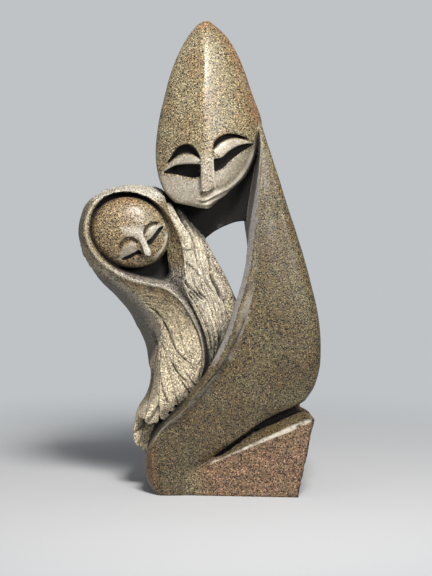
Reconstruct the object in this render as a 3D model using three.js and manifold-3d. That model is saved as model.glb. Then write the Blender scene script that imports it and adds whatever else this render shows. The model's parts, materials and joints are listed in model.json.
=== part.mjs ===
// Carved stone group: a tall figure with a pointed head leans over a smaller, hooded figure.
// The two share one block of stone and one low wedge-shaped foot, with one opening right through
// between the shawl of the small figure and the long body of the tall one.
// Millimetres, +Z up, the faces look along -Y, origin on the floor under the middle of the block.
import * as THREE from "three";
import { mergeVertices } from "three/addons/utils/BufferGeometryUtils.js";
import Module from "manifold-3d";

const wasm = await Module();
wasm.setup();

const overallHeight = 429;
const overallWidth = 223;
const overallDepth = 110;
const footFront = -overallDepth / 2;
const footBack = overallDepth / 2;
const hoodLeft = -overallWidth / 2;
const hipRight = overallWidth / 2;

// A smooth value along the height, from pairs of [height, value] listed upwards.
function alongHeight(pairs) {
  const heights = new Float32Array(pairs.map(([height]) => height));
  const values = new Float32Array(pairs.map(([, value]) => value));
  const spline = new THREE.CubicInterpolant(heights, values, 1);
  return (height) => {
    const inside = THREE.MathUtils.clamp(height, heights[0], heights.at(-1));
    return spline.evaluate(inside)[0];
  };
}

// Heights of the slices of a loft, closer together towards the top if crowding is over 1.
function slices(bottom, top, count, crowding = 1) {
  return Array.from({ length: count + 1 }, (_, i) => {
    const share = 1 - Math.pow(1 - i / count, crowding);
    return bottom + (top - bottom) * share;
  });
}

// One slice: corners [x, y, fillet, crown of the side that follows], anticlockwise from above.
const turnSteps = 3;
const sideSteps = 3;
function sliceOutline(corners) {
  const places = corners.map(([x, y]) => new THREE.Vector2(x, y));
  const after = (i) => places[(i + 1) % places.length];
  const before = (i) => places[(i + places.length - 1) % places.length];
  const reach = (i, other) =>
    Math.min(0.45, corners[i][2] / places[i].distanceTo(other));
  const points = [];
  places.forEach((corner, i) => {
    const next = (i + 1) % places.length;
    const turnStart = corner.clone().lerp(before(i), reach(i, before(i)));
    const turnEnd = corner.clone().lerp(after(i), reach(i, after(i)));
    const sideEnd = places[next].clone().lerp(corner, reach(next, corner));
    const along = sideEnd.clone().sub(turnEnd);
    const outward = new THREE.Vector2(along.y, -along.x).normalize();
    const crest = turnEnd
      .clone()
      .lerp(sideEnd, 0.5)
      .addScaledVector(outward, 2 * corners[i][3]);
    const turn = new THREE.QuadraticBezierCurve(turnStart, corner, turnEnd);
    const side = new THREE.QuadraticBezierCurve(turnEnd, crest, sideEnd);
    for (let k = 0; k < turnSteps; k++)
      points.push(turn.getPoint(k / turnSteps));
    for (let k = 0; k < sideSteps; k++)
      points.push(side.getPoint(k / sideSteps));
  });
  return points;
}

// A closed body through the slices that cornersAt gives at each height.
function loft(heights, cornersAt) {
  const rings = heights.map((z) => sliceOutline(cornersAt(z)));
  const around = rings[0].length;
  const positions = [];
  rings.forEach((ring, level) =>
    ring.forEach((p) => positions.push(p.x, p.y, heights[level])),
  );
  const index = [];
  for (let level = 0; level < rings.length - 1; level++)
    for (let k = 0; k < around; k++) {
      const a = level * around + k;
      const b = level * around + ((k + 1) % around);
      index.push(a, b, b + around, a, b + around, a + around);
    }
  const cap = (level, upwards) => {
    const centre = positions.length / 3;
    const mean = rings[level]
      .reduce((sum, p) => sum.add(p), new THREE.Vector2())
      .divideScalar(around);
    positions.push(mean.x, mean.y, heights[level]);
    for (let k = 0; k < around; k++) {
      const a = level * around + k;
      const b = level * around + ((k + 1) % around);
      index.push(centre, ...(upwards ? [a, b] : [b, a]));
    }
  };
  cap(0, false);
  cap(rings.length - 1, true);
  const geometry = new THREE.BufferGeometry();
  geometry.setAttribute(
    "position",
    new THREE.Float32BufferAttribute(positions, 3),
  );
  return geometry.setIndex(index);
}

// An outline in the front plane, [x, z] points, made a plate from the depth front to back.
function plate(shape, front, back, curveSteps = 3, bevel = 0) {
  const options = { depth: back - front - 2 * bevel, curveSegments: curveSteps };
  options.bevelEnabled = bevel > 0;
  options.bevelSize = bevel;
  options.bevelOffset = -bevel;
  options.bevelThickness = bevel;
  options.bevelSegments = 2;
  const geometry = new THREE.ExtrudeGeometry(shape, options);
  return geometry.rotateX(Math.PI / 2).translate(0, back - bevel, 0);
}

function polygon(points) {
  return new THREE.Shape(points.map(([x, z]) => new THREE.Vector2(x, z)));
}

function smoothOutline(points, steps) {
  const curve = new THREE.CatmullRomCurve3(
    points.map(([x, z]) => new THREE.Vector3(x, z, 0)),
    true,
    "centripetal",
  );
  return new THREE.Shape(
    curve.getSpacedPoints(steps).map((p) => new THREE.Vector2(p.x, p.y)),
  );
}

// A lens between two arcs that share their ends, each arc given by its crest points.
function lens(start, upper, lower, end) {
  const shape = new THREE.Shape().moveTo(...start);
  shape.bezierCurveTo(...upper[0], ...upper[1], ...end);
  return shape.bezierCurveTo(...lower[1], ...lower[0], ...start);
}

// Moves every vertex of a geometry by a function of its place.
function reshape(geometry, move) {
  const place = new THREE.Vector3();
  const points = geometry.getAttribute("position");
  for (let i = 0; i < points.count; i++) {
    place.fromBufferAttribute(points, i);
    move(place);
    points.setXYZ(i, place.x, place.y, place.z);
  }
  return geometry;
}

function solid(geometry) {
  const bare = geometry.clone();
  bare.deleteAttribute("normal");
  bare.deleteAttribute("uv");
  const merged = mergeVertices(bare, 1e-3);
  return new wasm.Manifold(
    new wasm.Mesh({
      numProp: 3,
      vertProperties: new Float32Array(merged.getAttribute("position").array),
      triVerts: new Uint32Array(merged.index.array),
    }),
  );
}

// Tall body: a long horn that widens from the brow to the hip and sweeps down to the left foot.
// Its front face ends on the inner side in a sharp arris, and a cove falls back from there.
const body = {
  arris: alongHeight([
    [0, -38], [14, -41.5], [32, -44], [48, -43], [64, -32], [79, -16], [93, -1],
    [117, 21], [140, 34], [173, 45], [195, 50], [247, 52], [294, 54.5], [318, 55], [336, 52],
  ]),
  right: alongHeight([
    [0, 6], [31, 10], [43, 25], [56, 43], [68, 60.5], [76, 77], [81, 90], [92, 101.5],
    [107, 108], [130, hipRight - 1], [155, 109], [192, 101], [229, 90],
    [265, 78], [301, 67], [336, 58.2],
  ]),
  coveEnd: alongHeight([
    [0, -41.5], [15, -47], [32, -50.5], [48, -51], [64, -46], [93, -22], [117, 0],
    [140, 16], [155, 28], [170, 37], [196, 43.5], [228, 42.5], [245, 40], [275, 44], [336, 56],
  ]),
  front: alongHeight([
    [0, -44.5], [60, -46], [150, -48], [240, -46], [295, -42], [325, -30], [336, -23],
  ]),
  back: alongHeight([[0, 47], [100, 49], [180, 45], [250, 34], [300, 18], [336, -6]]),
  turnRadius: alongHeight([[0, 3], [70, 5], [95, 11], [150, 15], [230, 12], [336, 2]]),
  bottom: 0,
  top: 336,
};

function bodySlice(z) {
  const [arris, right, coveEnd] = [body.arris(z), body.right(z), body.coveEnd(z)];
  const [front, back, turn] = [body.front(z), body.back(z), body.turnRadius(z)];
  const width = right - arris;
  return [
    [arris, front, 0.6, 2.5],
    [right, front + Math.min(6, 0.2 * width), turn, 1],
    [right - 0.05 * width, back - 6, turn * 1.3, 1.5],
    [arris + 0.1 * width, back, 12, 1],
    [coveEnd, Math.min(12, back - 8), 9, -1.5],
  ];
}

// Tall head: a pointed hood of stone with a soft keel down its front, cut off to a chin below.
const head = {
  left: alongHeight([
    [258.5, 1], [262, -17], [270, -28.5], [280, -35], [293, -38.5], [315, -37.5],
    [342, -34.5], [370, -27.5], [391, -19.5], [404, -12.5], [418, -3], [425, 2.5],
    [overallHeight, 5.5],
  ]),
  right: alongHeight([
    [258.5, 10], [264, 16], [271, 24], [277, 32], [286, 41.5], [298, 48.5], [314, 54],
    [336, 58], [355, 51.5], [379, 43], [398, 34], [411, 27], [421, 18.5], [426, 12.5],
    [overallHeight, 9.5],
  ]),
  keel: alongHeight([[258.5, 7], [310, 5], [358, 5.6], [412, 6.6], [overallHeight, 7]]),
  front: alongHeight([
    [258.5, -45], [275, -49], [310, -51], [345, -46], [380, -36], [405, -24.5], [420, -14.5],
    [427, -7.5], [overallHeight, -3],
  ]),
  shoulder: alongHeight([[258.5, -34], [275, -27], [310, -21], [360, -15], [405, -8], [overallHeight, 0]]),
  back: alongHeight([
    [258.5, -24], [264, -8], [275, 14], [292, 30], [320, 34], [360, 28], [395, 18], [420, 8], [overallHeight, 2],
  ]),
};

function headSlice(z) {
  const [left, right, keel] = [head.left(z), head.right(z), head.keel(z)];
  const [front, back, shoulder] = [head.front(z), head.back(z), head.shoulder(z)];
  const half = (right - left) / 2;
  const behind = Math.max(shoulder + 0.1 * half, back * 0.55);
  return [
    [keel, front, 0.28 * half, 0.05 * half],
    [right, shoulder, 0.3 * half, 0.02 * half],
    [right - 0.12 * half, behind, 0.3 * half, 0.04 * half],
    [(left + right) / 2, back, 0.5 * half, 0.04 * half],
    [left + 0.12 * half, behind, 0.3 * half, 0.02 * half],
    [left, shoulder, 0.3 * half, 0.05 * half],
  ];
}

// Small figure: a hooded mass that leans left at the top and tucks in behind the tall body below.
const shawl = {
  left: alongHeight([
    [35, -53], [41, -59], [49, -63], [61, -61], [73, -58], [85, -51], [100, -47], [116, -48],
    [135, -51], [149, -57], [166, -65], [178, -76], [192, -91], [206, -101], [217, -108],
    [233, hoodLeft], [251, -109], [262, -104], [271, -93], [276, -82], [279, -70],
  ]),
  right: alongHeight([
    [35, -44], [49, -38], [61, -20], [73, -8], [85, 4], [100, 14], [116, 24], [135, 36],
    [149, 41], [166, 38], [179, 32.5], [194, 26], [207, 19], [219, 12], [231, 5.5],
    [246, -8], [263, -20], [271, -27], [276, -36], [279, -50],
  ]),
  crest: alongHeight([
    [35, -49], [61, -38], [75, -25], [90, -8], [105, 4], [121, 8], [143, 3], [167, -6],
    [193, -15], [214, -15], [234, -19], [252, -27], [266, -38], [279, -56],
  ]),
  front: alongHeight([
    [35, -18], [60, -26], [80, -30], [100, -33], [125, -37], [150, -41], [180, -45],
    [205, -48], [240, -48], [260, -46], [270, -41.5], [276, -34], [279, -24],
  ]),
  brink: alongHeight([[35, 3], [70, 8], [120, 13], [170, 15], [200, 11], [240, 9], [279, 12]]),
  rightDepth: alongHeight([[35, -12], [100, -22], [140, -24], [175, -14], [230, -10], [279, -4]]),
  back: alongHeight([[35, 34], [80, 40], [160, 36], [230, 34], [262, 28], [279, 8]]),
};

function shawlSlice(z) {
  const [left, right, crest] = [shawl.left(z), shawl.right(z), shawl.crest(z)];
  const [front, back] = [shawl.front(z), shawl.back(z)];
  const width = right - left;
  return [
    [left + shawl.brink(z), front, 0.1 * width, 1.2],
    [crest, front + 1, 4, 1],
    [right, shawl.rightDepth(z), 5, 0.5],
    [right - 0.08 * width, back - 8, 0.16 * width, 1.5],
    [left + 0.18 * width, back, 0.2 * width, 1],
    [left - 0.3, 2, 0.1 * width, 1.4],
  ];
}

// Neck: the mass set back behind the chin that ties the two figures together over the opening.
const neckOutline = [
  [-30, 268], [-14, 246], [4, 229], [12, 235], [23, 241], [34, 245], [46, 247],
  [55, 262], [56, 324], [30, 324], [-24, 300],
];
const neckFront = -20;
const neckBack = 27;

// Foot: a rough wedge, flush with the body at its tip and proud of it at the right.
const foot = {
  tip: [10, -45, 31],
  crest: [93, -42, 77.5],
  brow: [98, -55, 71],
  outline: [
    [-34, 0], [89.5, 0], [96.5, 38], [103.5, 72], [93, 77.5], [60, 62.8], [25, 39.2], [10, 31], [-34, 3],
  ],
  flushFront: -44.5,
  forward: [0.09, 0.024],
  grooveDepth: 32,
  coreOutline: [[-20, 20], [84, 20], [92, 66], [92, 92], [70, 80], [30, 52], [18, 40]],
};

function footSolids() {
  const slant = (p) => {
    const [perWidth, perHeight] = foot.forward;
    if (p.y < 0) p.y = Math.max(footFront, foot.flushFront - perWidth * p.x - perHeight * p.z);
  };
  const wedge = reshape(plate(polygon(foot.outline), footFront, footBack), slant);
  // A slab laid on the tip, the crest and the brow takes the front edge off the wedge's top.
  const [tip, crest, brow] = [foot.tip, foot.crest, foot.brow].map((p) => new THREE.Vector3(...p));
  const facet = new THREE.Plane().setFromCoplanarPoints(tip, brow, crest);
  const slab = new THREE.BoxGeometry(400, 400, 80)
    .translate(200, 0, 40)
    .applyQuaternion(
      new THREE.Quaternion().setFromUnitVectors(new THREE.Vector3(0, 0, 1), facet.normal),
    )
    .translate(...tip);
  return {
    wedge: solid(wedge).subtract(solid(slab)),
    core: solid(plate(polygon(foot.coreOutline), footFront + foot.grooveDepth, footBack - 8)),
  };
}

// Hood recess, the small head in it and the flute that runs down from it.
const smallHead = {
  centre: [-63, -33, 237.5],
  radii: [35, 19, 31],
  chinAngle: -42,
  chinReach: 5,
  noseRidge: 0.14,
};
const recess = {
  outline: [
    [-98, 238], [-95, 256], [-83, 270], [-66, 275], [-50, 272.5], [-34, 262], [-24, 246],
    [-20, 228], [-21, 208], [-28, 193], [-42, 194], [-60, 198], [-78, 207], [-92, 222],
  ],
  depth: -30,
};
const hem = {
  outline: [
    [-62, 69], [-52, 65.5], [-40, 62], [-31, 69.5], [-20, 80.5], [-7, 89.5], [3, 101],
    [60, 101], [60, 20], [-80, 20], [-80, 66],
  ],
  depth: -14,
};
const flute = {
  route: [
    [-24, -47, 205], [-19, -46, 190], [-9, -44, 174], [0, -42, 158], [5, -40, 142], [8, -37, 126], [6, -34, 110],
  ],
  radius: 4.5,
};
const rim = {
  route: [
    [-97, -45, 250], [-98.5, -47, 232], [-92, -47.5, 217], [-79, -47, 204], [-62, -47, 195],
    [-45, -46, 189], [-30, -45, 186], [-17, -43, 174], [-7, -41, 158],
  ],
  radius: 2.6,
};

function tube(route, radius, steps, sides) {
  const curve = new THREE.CatmullRomCurve3(route.map((p) => new THREE.Vector3(...p)));
  const section = new THREE.Shape().absarc(0, 0, radius, 0, 2 * Math.PI);
  return new THREE.ExtrudeGeometry(section, {
    steps,
    curveSegments: sides,
    extrudePath: curve,
    bevelEnabled: false,
  });
}

function smallHeadGeometry() {
  const egg = new THREE.SphereGeometry(1, 28, 18).rotateX(Math.PI / 2);
  const chin = THREE.MathUtils.degToRad(smallHead.chinAngle);
  return reshape(egg, (p) => {
    const towardsChin = Math.max(0, p.x * Math.cos(chin) + p.z * Math.sin(chin));
    const longer = 1 + (smallHead.chinReach / smallHead.radii[0]) * towardsChin ** 4;
    const [aside, along] = [p.x - 0.27 + 0.55 * (p.z + 0.2), p.z + 0.35];
    const ridge = p.y < 0 ? Math.exp(-60 * aside * aside - 6 * along * along) : 0;
    p.y -= smallHead.noseRidge * ridge;
    p.set(
      smallHead.centre[0] + p.x * smallHead.radii[0] * longer,
      smallHead.centre[1] + p.y * smallHead.radii[1],
      smallHead.centre[2] + p.z * smallHead.radii[2] * longer,
    );
  });
}

// Face cuts: brow hollows, eye slits and cheeks, each let into the face to an even depth.
const tallFace = {
  surface: (x, z) => head.front(z) + 0.62 * Math.abs(x - head.keel(z)),
  browDepth: 9,
  slitDepth: 8,
  cheekDepth: (x) => 7.5 - 0.15 * Math.abs(x - 6),
  brows: [
    lens([-33, 290], [[-22, 322], [-3, 322]], [[-24, 307], [-4, 309]], [1, 301]),
    lens([49, 316], [[38, 326], [14, 330]], [[38, 321], [16, 325]], [12.5, 309]),
  ],
  slits: [
    lens([-33.6, 289.2], [[-19, 300], [-6, 298]], [[-16, 288], [-6, 284]], [1.5, 290]),
    lens([49.8, 315.2], [[34, 319], [24, 306]], [[34, 306], [24, 292]], [13.5, 295]),
  ],
  cheeks: [
    [[1.5, 289], [-34, 288], [-31, 279], [-22, 268], [-8, 264], [1.8, 270]],
    [[14, 294], [20, 293], [50, 314], [46, 300], [39, 288], [27, 278], [14.5, 274]],
  ],
};
const smallFace = {
  surface(x, z) {
    const [aside, above] = [
      (x - smallHead.centre[0]) / smallHead.radii[0],
      (z - smallHead.centre[2]) / smallHead.radii[2],
    ];
    const bulge = Math.sqrt(Math.max(0.05, 1 - aside * aside - above * above));
    return smallHead.centre[1] - smallHead.radii[1] * bulge;
  },
  browDepth: 5,
  slitDepth: 4.5,
  cheekDepth: () => 3,
  brows: [
    lens([-71, 213.5], [[-71, 236], [-57, 240]], [[-69, 227], [-59, 231]], [-54.5, 226.5]),
    lens([-30.5, 244], [[-40, 249], [-52, 246]], [[-38, 245], [-48, 242]], [-49, 232]),
  ],
  slits: [
    lens([-70.5, 213], [[-64, 221], [-58, 223]], [[-64, 214], [-58, 217]], [-51.5, 221.5]),
    lens([-30, 243.5], [[-38, 240], [-43, 234]], [[-35, 234], [-39, 226]], [-45.5, 225]),
  ],
  cheeks: [
    [[-51, 220], [-69, 213], [-60, 210], [-50, 210], [-47, 214]],
    [[-44, 224], [-39, 227], [-32, 238], [-32, 232], [-35, 221], [-41, 217]],
  ],
};

function faceCuts(face) {
  const cut = (shape, depthAt, steps) =>
    solid(
      reshape(plate(shape, -80, 0, steps), (p) => {
        if (p.y > -40) p.y = face.surface(p.x, p.z) + depthAt(p.x);
      }),
    );
  return [
    ...face.brows.map((shape) => cut(shape, () => face.browDepth, 7)),
    ...face.slits.map((shape) => cut(shape, () => face.slitDepth, 7)),
    ...face.cheeks.map((points) => cut(polygon(points), face.cheekDepth, 1)),
  ];
}

// Joins and cuts, in the order that the carver would free the forms.
const { wedge, core } = footSolids();
const hooded = [smallHeadGeometry(), tube(rim.route, rim.radius, 22, 3)]
  .map(solid)
  .reduce(
    (made, added) => made.add(added),
    solid(loft(slices(35, 279, 30, 1.25), shawlSlice))
      .subtract(solid(plate(smoothOutline(recess.outline, 30), -70, recess.depth)))
      .subtract(solid(plate(polygon(hem.outline), -70, hem.depth)))
      .subtract(solid(tube(flute.route, flute.radius, 12, 4))),
  );
const tall = [
  loft(slices(258.5, overallHeight, 26, 1.5), headSlice),
  plate(polygon(neckOutline), neckFront, neckBack, 1, 4),
  loft(slices(body.bottom, body.top, 32), bodySlice),
]
  .map(solid)
  .reduce((made, added) => made.add(added));
const faces = [...faceCuts(tallFace), ...faceCuts(smallFace)];
const carved = faces.reduce(
  (made, cutter) => made.subtract(cutter),
  tall.add(hooded).add(wedge).add(core),
);

function meshGeometry(made) {
  const { vertProperties, triVerts } = made.getMesh();
  const geometry = new THREE.BufferGeometry();
  geometry.setAttribute("position", new THREE.BufferAttribute(vertProperties, 3));
  geometry.setIndex(new THREE.BufferAttribute(triVerts, 1));
  geometry.computeVertexNormals();
  return geometry;
}

// One serpentine stone, polished on the bodies and left tooled on the shawl and the foot.
const stone = new THREE.MeshStandardMaterial({
  color: new THREE.Color(0.3, 0.25, 0.17),
  roughness: 0.45,
  metalness: 0,
});

const couple = new THREE.Mesh(meshGeometry(carved), stone);
couple.name = "carved_couple";
const sculpture = new THREE.Group();
sculpture.add(couple);

export default sculpture;
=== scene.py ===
import json
import math

import bpy
import numpy as np
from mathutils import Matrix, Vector
from mathutils.bvhtree import BVHTree

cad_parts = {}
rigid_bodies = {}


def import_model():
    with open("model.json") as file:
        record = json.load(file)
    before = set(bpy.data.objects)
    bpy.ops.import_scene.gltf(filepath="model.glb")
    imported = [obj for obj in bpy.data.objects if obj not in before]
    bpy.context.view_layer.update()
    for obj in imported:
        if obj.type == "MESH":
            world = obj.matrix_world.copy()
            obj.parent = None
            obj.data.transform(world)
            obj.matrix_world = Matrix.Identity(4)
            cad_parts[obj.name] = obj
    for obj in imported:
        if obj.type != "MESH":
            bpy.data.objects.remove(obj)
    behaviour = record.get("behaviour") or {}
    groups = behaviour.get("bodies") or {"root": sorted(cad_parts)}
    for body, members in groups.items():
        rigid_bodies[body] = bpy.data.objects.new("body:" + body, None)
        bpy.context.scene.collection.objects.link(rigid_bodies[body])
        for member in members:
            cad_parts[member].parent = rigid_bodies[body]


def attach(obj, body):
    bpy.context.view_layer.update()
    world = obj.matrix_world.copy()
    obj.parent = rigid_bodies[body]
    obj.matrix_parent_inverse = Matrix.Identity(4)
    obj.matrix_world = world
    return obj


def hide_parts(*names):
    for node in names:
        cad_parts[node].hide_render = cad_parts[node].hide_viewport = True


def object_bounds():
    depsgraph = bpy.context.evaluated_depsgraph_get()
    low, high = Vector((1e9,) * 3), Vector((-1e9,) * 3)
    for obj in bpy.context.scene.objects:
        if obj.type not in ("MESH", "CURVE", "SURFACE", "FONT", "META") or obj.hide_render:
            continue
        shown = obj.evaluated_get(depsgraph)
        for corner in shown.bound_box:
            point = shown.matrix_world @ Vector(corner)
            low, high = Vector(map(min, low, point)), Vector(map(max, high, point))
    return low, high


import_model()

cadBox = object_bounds()
metre = 0.001    # shapes below are worked in millimetres and made metres at the end


# small helpers

def alongHeight(pairs):
    # a smooth value along the height, from (height, value) pairs listed upwards
    heights = np.array([pair[0] for pair in pairs], float)
    values = np.array([pair[1] for pair in pairs], float)
    slopes = np.gradient(values, heights)

    def valueAt(z):
        z = np.clip(z, heights[0], heights[-1])
        i = np.clip(np.searchsorted(heights, z, side="right") - 1, 0, len(heights) - 2)
        span = heights[i + 1] - heights[i]
        t = (z - heights[i]) / span
        return (
            values[i] * (1 + 2 * t) * (1 - t) ** 2
            + slopes[i] * span * t * (1 - t) ** 2
            + values[i + 1] * t * t * (3 - 2 * t)
            + slopes[i + 1] * span * t * t * (t - 1)
        )

    return valueAt


def ease(low, high, value):
    t = np.clip((value - low) / (high - low), 0, 1)
    return t * t * (3 - 2 * t)


def smoothLine(points, steps, closed=False):
    # evenly spaced points on a smooth line through the given ones
    points = np.array(points, float)
    if closed:
        points = np.vstack([points, points[:1]])
    reach = np.concatenate([[0], np.cumsum(np.linalg.norm(np.diff(points, axis=0), axis=1))])
    if closed:
        reachMore = np.concatenate([reach[-3:-1] - reach[-1], reach, reach[1:3] + reach[-1]])
        pointsMore = np.vstack([points[-3:-1], points, points[1:3]])
    else:
        reachMore, pointsMore = reach, points
    at = np.linspace(0, reach[-1], steps + 1)[: steps if closed else steps + 1]
    columns = [alongHeight(list(zip(reachMore, column)))(at) for column in pointsMore.T]
    return np.stack(columns, 1)


def deselectAll():
    if bpy.context.object and bpy.context.object.mode != "OBJECT":
        bpy.ops.object.mode_set(mode="OBJECT")
    bpy.ops.object.select_all(action="DESELECT")


def choose(piece):
    deselectAll()
    piece.select_set(True)
    bpy.context.view_layer.objects.active = piece


def coordinatesOf(piece):
    places = np.empty(len(piece.data.vertices) * 3)
    piece.data.vertices.foreach_get("co", places)
    return places.reshape(-1, 3)


def placeVertices(piece, places):
    piece.data.vertices.foreach_set("co", np.ascontiguousarray(places, float).ravel())
    piece.data.update()


def normalsOf(piece):
    turned = np.empty(len(piece.data.vertices) * 3)
    piece.data.vertices.foreach_get("normal", turned)
    return turned.reshape(-1, 3)


def applyModifier(piece, kind, **settings):
    choose(piece)
    made = piece.modifiers.new(kind.lower(), kind)
    for key, value in settings.items():
        setattr(made, key, value)
    bpy.ops.object.modifier_apply(modifier=made.name)


def turnNormalsOut():
    bpy.ops.object.mode_set(mode="EDIT")
    bpy.ops.mesh.select_all(action="SELECT")
    bpy.ops.mesh.normals_make_consistent(inside=False)
    bpy.ops.object.mode_set(mode="OBJECT")


def ringStack(name, rings):
    # a disc is extruded once for each ring, then its rings are pulled to their outlines
    levels, around = len(rings), len(rings[0])
    deselectAll()
    bpy.ops.mesh.primitive_circle_add(vertices=around, radius=10, fill_type="NGON")
    piece = bpy.context.object
    piece.name = name
    bpy.ops.object.mode_set(mode="EDIT")
    bpy.ops.mesh.select_all(action="SELECT")
    for level in range(levels - 1):
        bpy.ops.mesh.extrude_region_move(TRANSFORM_OT_translate={"value": (0, 0, 1)})
    bpy.ops.object.mode_set(mode="OBJECT")
    flat = coordinatesOf(piece)
    turn = np.rint(np.arctan2(flat[:, 1], flat[:, 0]) / (2 * math.pi / around)).astype(int) % around
    placeVertices(piece, np.array(rings)[np.rint(flat[:, 2]).astype(int), turn])
    turnNormalsOut()
    return piece


def ribbonBlock(name, rows, floors, surface, front=-95):
    # a grid between rows of (x, z) points, let into the surface, and extruded out to the front
    across, along = len(rows) - 1, len(rows[0]) - 1
    deselectAll()
    bpy.ops.mesh.primitive_grid_add(x_subdivisions=along, y_subdivisions=across, size=2)
    piece = bpy.context.object
    piece.name = name
    bpy.ops.object.mode_set(mode="EDIT")
    bpy.ops.mesh.select_all(action="SELECT")
    bpy.ops.mesh.extrude_region_move(TRANSFORM_OT_translate={"value": (0, 0, 1)})
    bpy.ops.object.mode_set(mode="OBJECT")
    flat = coordinatesOf(piece)
    i = np.rint((flat[:, 0] + 1) / 2 * along).astype(int)
    j = np.rint((flat[:, 1] + 1) / 2 * across).astype(int)
    spots = np.array(rows)[j, i]
    ground = np.array([[surface(x, z) for x, z in row] for row in rows])
    depth = np.where(flat[:, 2] < 0.5, (ground + np.array(floors))[j, i], front)
    placeVertices(piece, np.stack([spots[:, 0], depth, spots[:, 1]], 1))
    turnNormalsOut()
    return piece


def combine(piece, others, operation):
    for other in others:
        applyModifier(piece, "BOOLEAN", object=other, operation=operation, solver="MANIFOLD")
        bpy.data.objects.remove(other)


def filledSlice(corners, turnSteps=7, sideSteps=9):
    # one slice of a mass: corners (x, y, fillet, crown of the side that follows), anticlockwise
    places = [np.array(corner[:2], float) for corner in corners]
    count = len(places)
    points = []

    def reach(i, other):
        return min(0.45, corners[i][2] / max(1e-6, np.linalg.norm(places[i] - other)))

    for i, corner in enumerate(places):
        last, after, beyond = places[i - 1], places[(i + 1) % count], (i + 1) % count
        turnStart = corner + (last - corner) * reach(i, last)
        turnEnd = corner + (after - corner) * reach(i, after)
        sideEnd = after + (corner - after) * reach(beyond, corner)
        side = sideEnd - turnEnd
        outward = np.array([side[1], -side[0]]) / max(1e-6, np.linalg.norm(side))
        crest = (turnEnd + sideEnd) / 2 + outward * 2 * corners[i][3]
        for a, b, c, steps in ((turnStart, corner, turnEnd, turnSteps), (turnEnd, crest, sideEnd, sideSteps)):
            for k in range(steps):
                t = k / steps
                points.append(a * (1 - t) ** 2 + b * 2 * t * (1 - t) + c * t * t)
    return points


def loftMass(name, heights, sliceAt):
    return ringStack(name, [[(x, y, z) for x, y in sliceAt(z)] for z in heights])


# camera

viewpoint = {"distance": 1.38, "elevation": 5, "aim": (0.0152, 0, 0.184), "lens": 93.75}
bpy.ops.object.camera_add(rotation=(math.radians(90 - viewpoint["elevation"]), 0, 0))
camera = bpy.context.object
camera.name = "studioCamera"
tilt = math.radians(viewpoint["elevation"])
camera.location = Vector(viewpoint["aim"]) + viewpoint["distance"] * Vector((0, -math.cos(tilt), math.sin(tilt)))
camera.data.lens = viewpoint["lens"]
camera.data.clip_start = 0.02
bpy.context.scene.camera = camera


# tall figure

tallBody = {
    "arris": alongHeight([
        (0, -39), (14, -48), (24, -49.2), (33, -49), (41, -46.8), (49, -42), (59, -35), (70, -23.5),
        (80, -11.5), (93, 0), (117, 21), (140, 34), (173, 45), (195, 50), (247, 52), (294, 54.5), (318, 54.8), (334, 53), (350, 48.5),
    ]),
    "right": alongHeight([
        (0, 6), (31, 10), (43, 25), (56, 43), (68, 60.5), (76, 77), (81, 90), (92, 101.5), (107, 108),
        (130, 110.5), (155, 109), (192, 101), (229, 90), (265, 78), (301, 66.3), (321, 60), (336, 55.6),
        (350, 50),
    ]),
    "facetWidth": alongHeight([(0, 3.8), (14, 6), (33, 6.6), (43, 3.4), (50, 1), (350, 0.8)]),
    "facetDepth": alongHeight([(0, 5), (14, 8), (33, 8), (43, 4), (50, 0.6), (350, 0.4)]),
    "coveEnd": alongHeight([
        (0, -41.5), (15, -48.5), (32, -51), (48, -50), (64, -45), (93, -22), (117, 0), (140, 16),
        (155, 28), (170, 37), (196, 43.5), (228, 42.5), (245, 40), (275, 44), (318, 52), (350, 49),
    ]),
    "front": alongHeight([
        (0, -44.5), (60, -46), (150, -48), (240, -46), (290, -42), (315, -34), (334, -21), (350, -9),
    ]),
    "back": alongHeight([(0, 47), (100, 49), (180, 45), (250, 34), (300, 18), (335, -3), (350, -6)]),
    "turn": alongHeight([(0, 3), (70, 5), (95, 11), (150, 15), (230, 12), (300, 5), (350, 1)]),
    "bottom": 0,
    "top": 350,
}


def bodySlice(z):
    arris, right, coveEnd = tallBody["arris"](z), tallBody["right"](z), tallBody["coveEnd"](z)
    front, back, turn = tallBody["front"](z), tallBody["back"](z), tallBody["turn"](z)
    width = right - arris
    swell = min(1, width / 40)
    facetWidth, facetDepth = tallBody["facetWidth"](z), tallBody["facetDepth"](z)
    return filledSlice([
        (arris, front + facetDepth, 0.5, 0),
        (arris + min(facetWidth, 0.3 * width), front, 0.6, 2.5 * swell),
        (right, front + min(6, 0.2 * width), turn, swell),
        (right - 0.05 * width, back - 6, turn * 1.3, 1.5 * swell),
        (arris + 0.1 * width, back, 12, swell),
        (coveEnd, min(12, back - 8), 9, -1.5 * swell),
    ])


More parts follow.
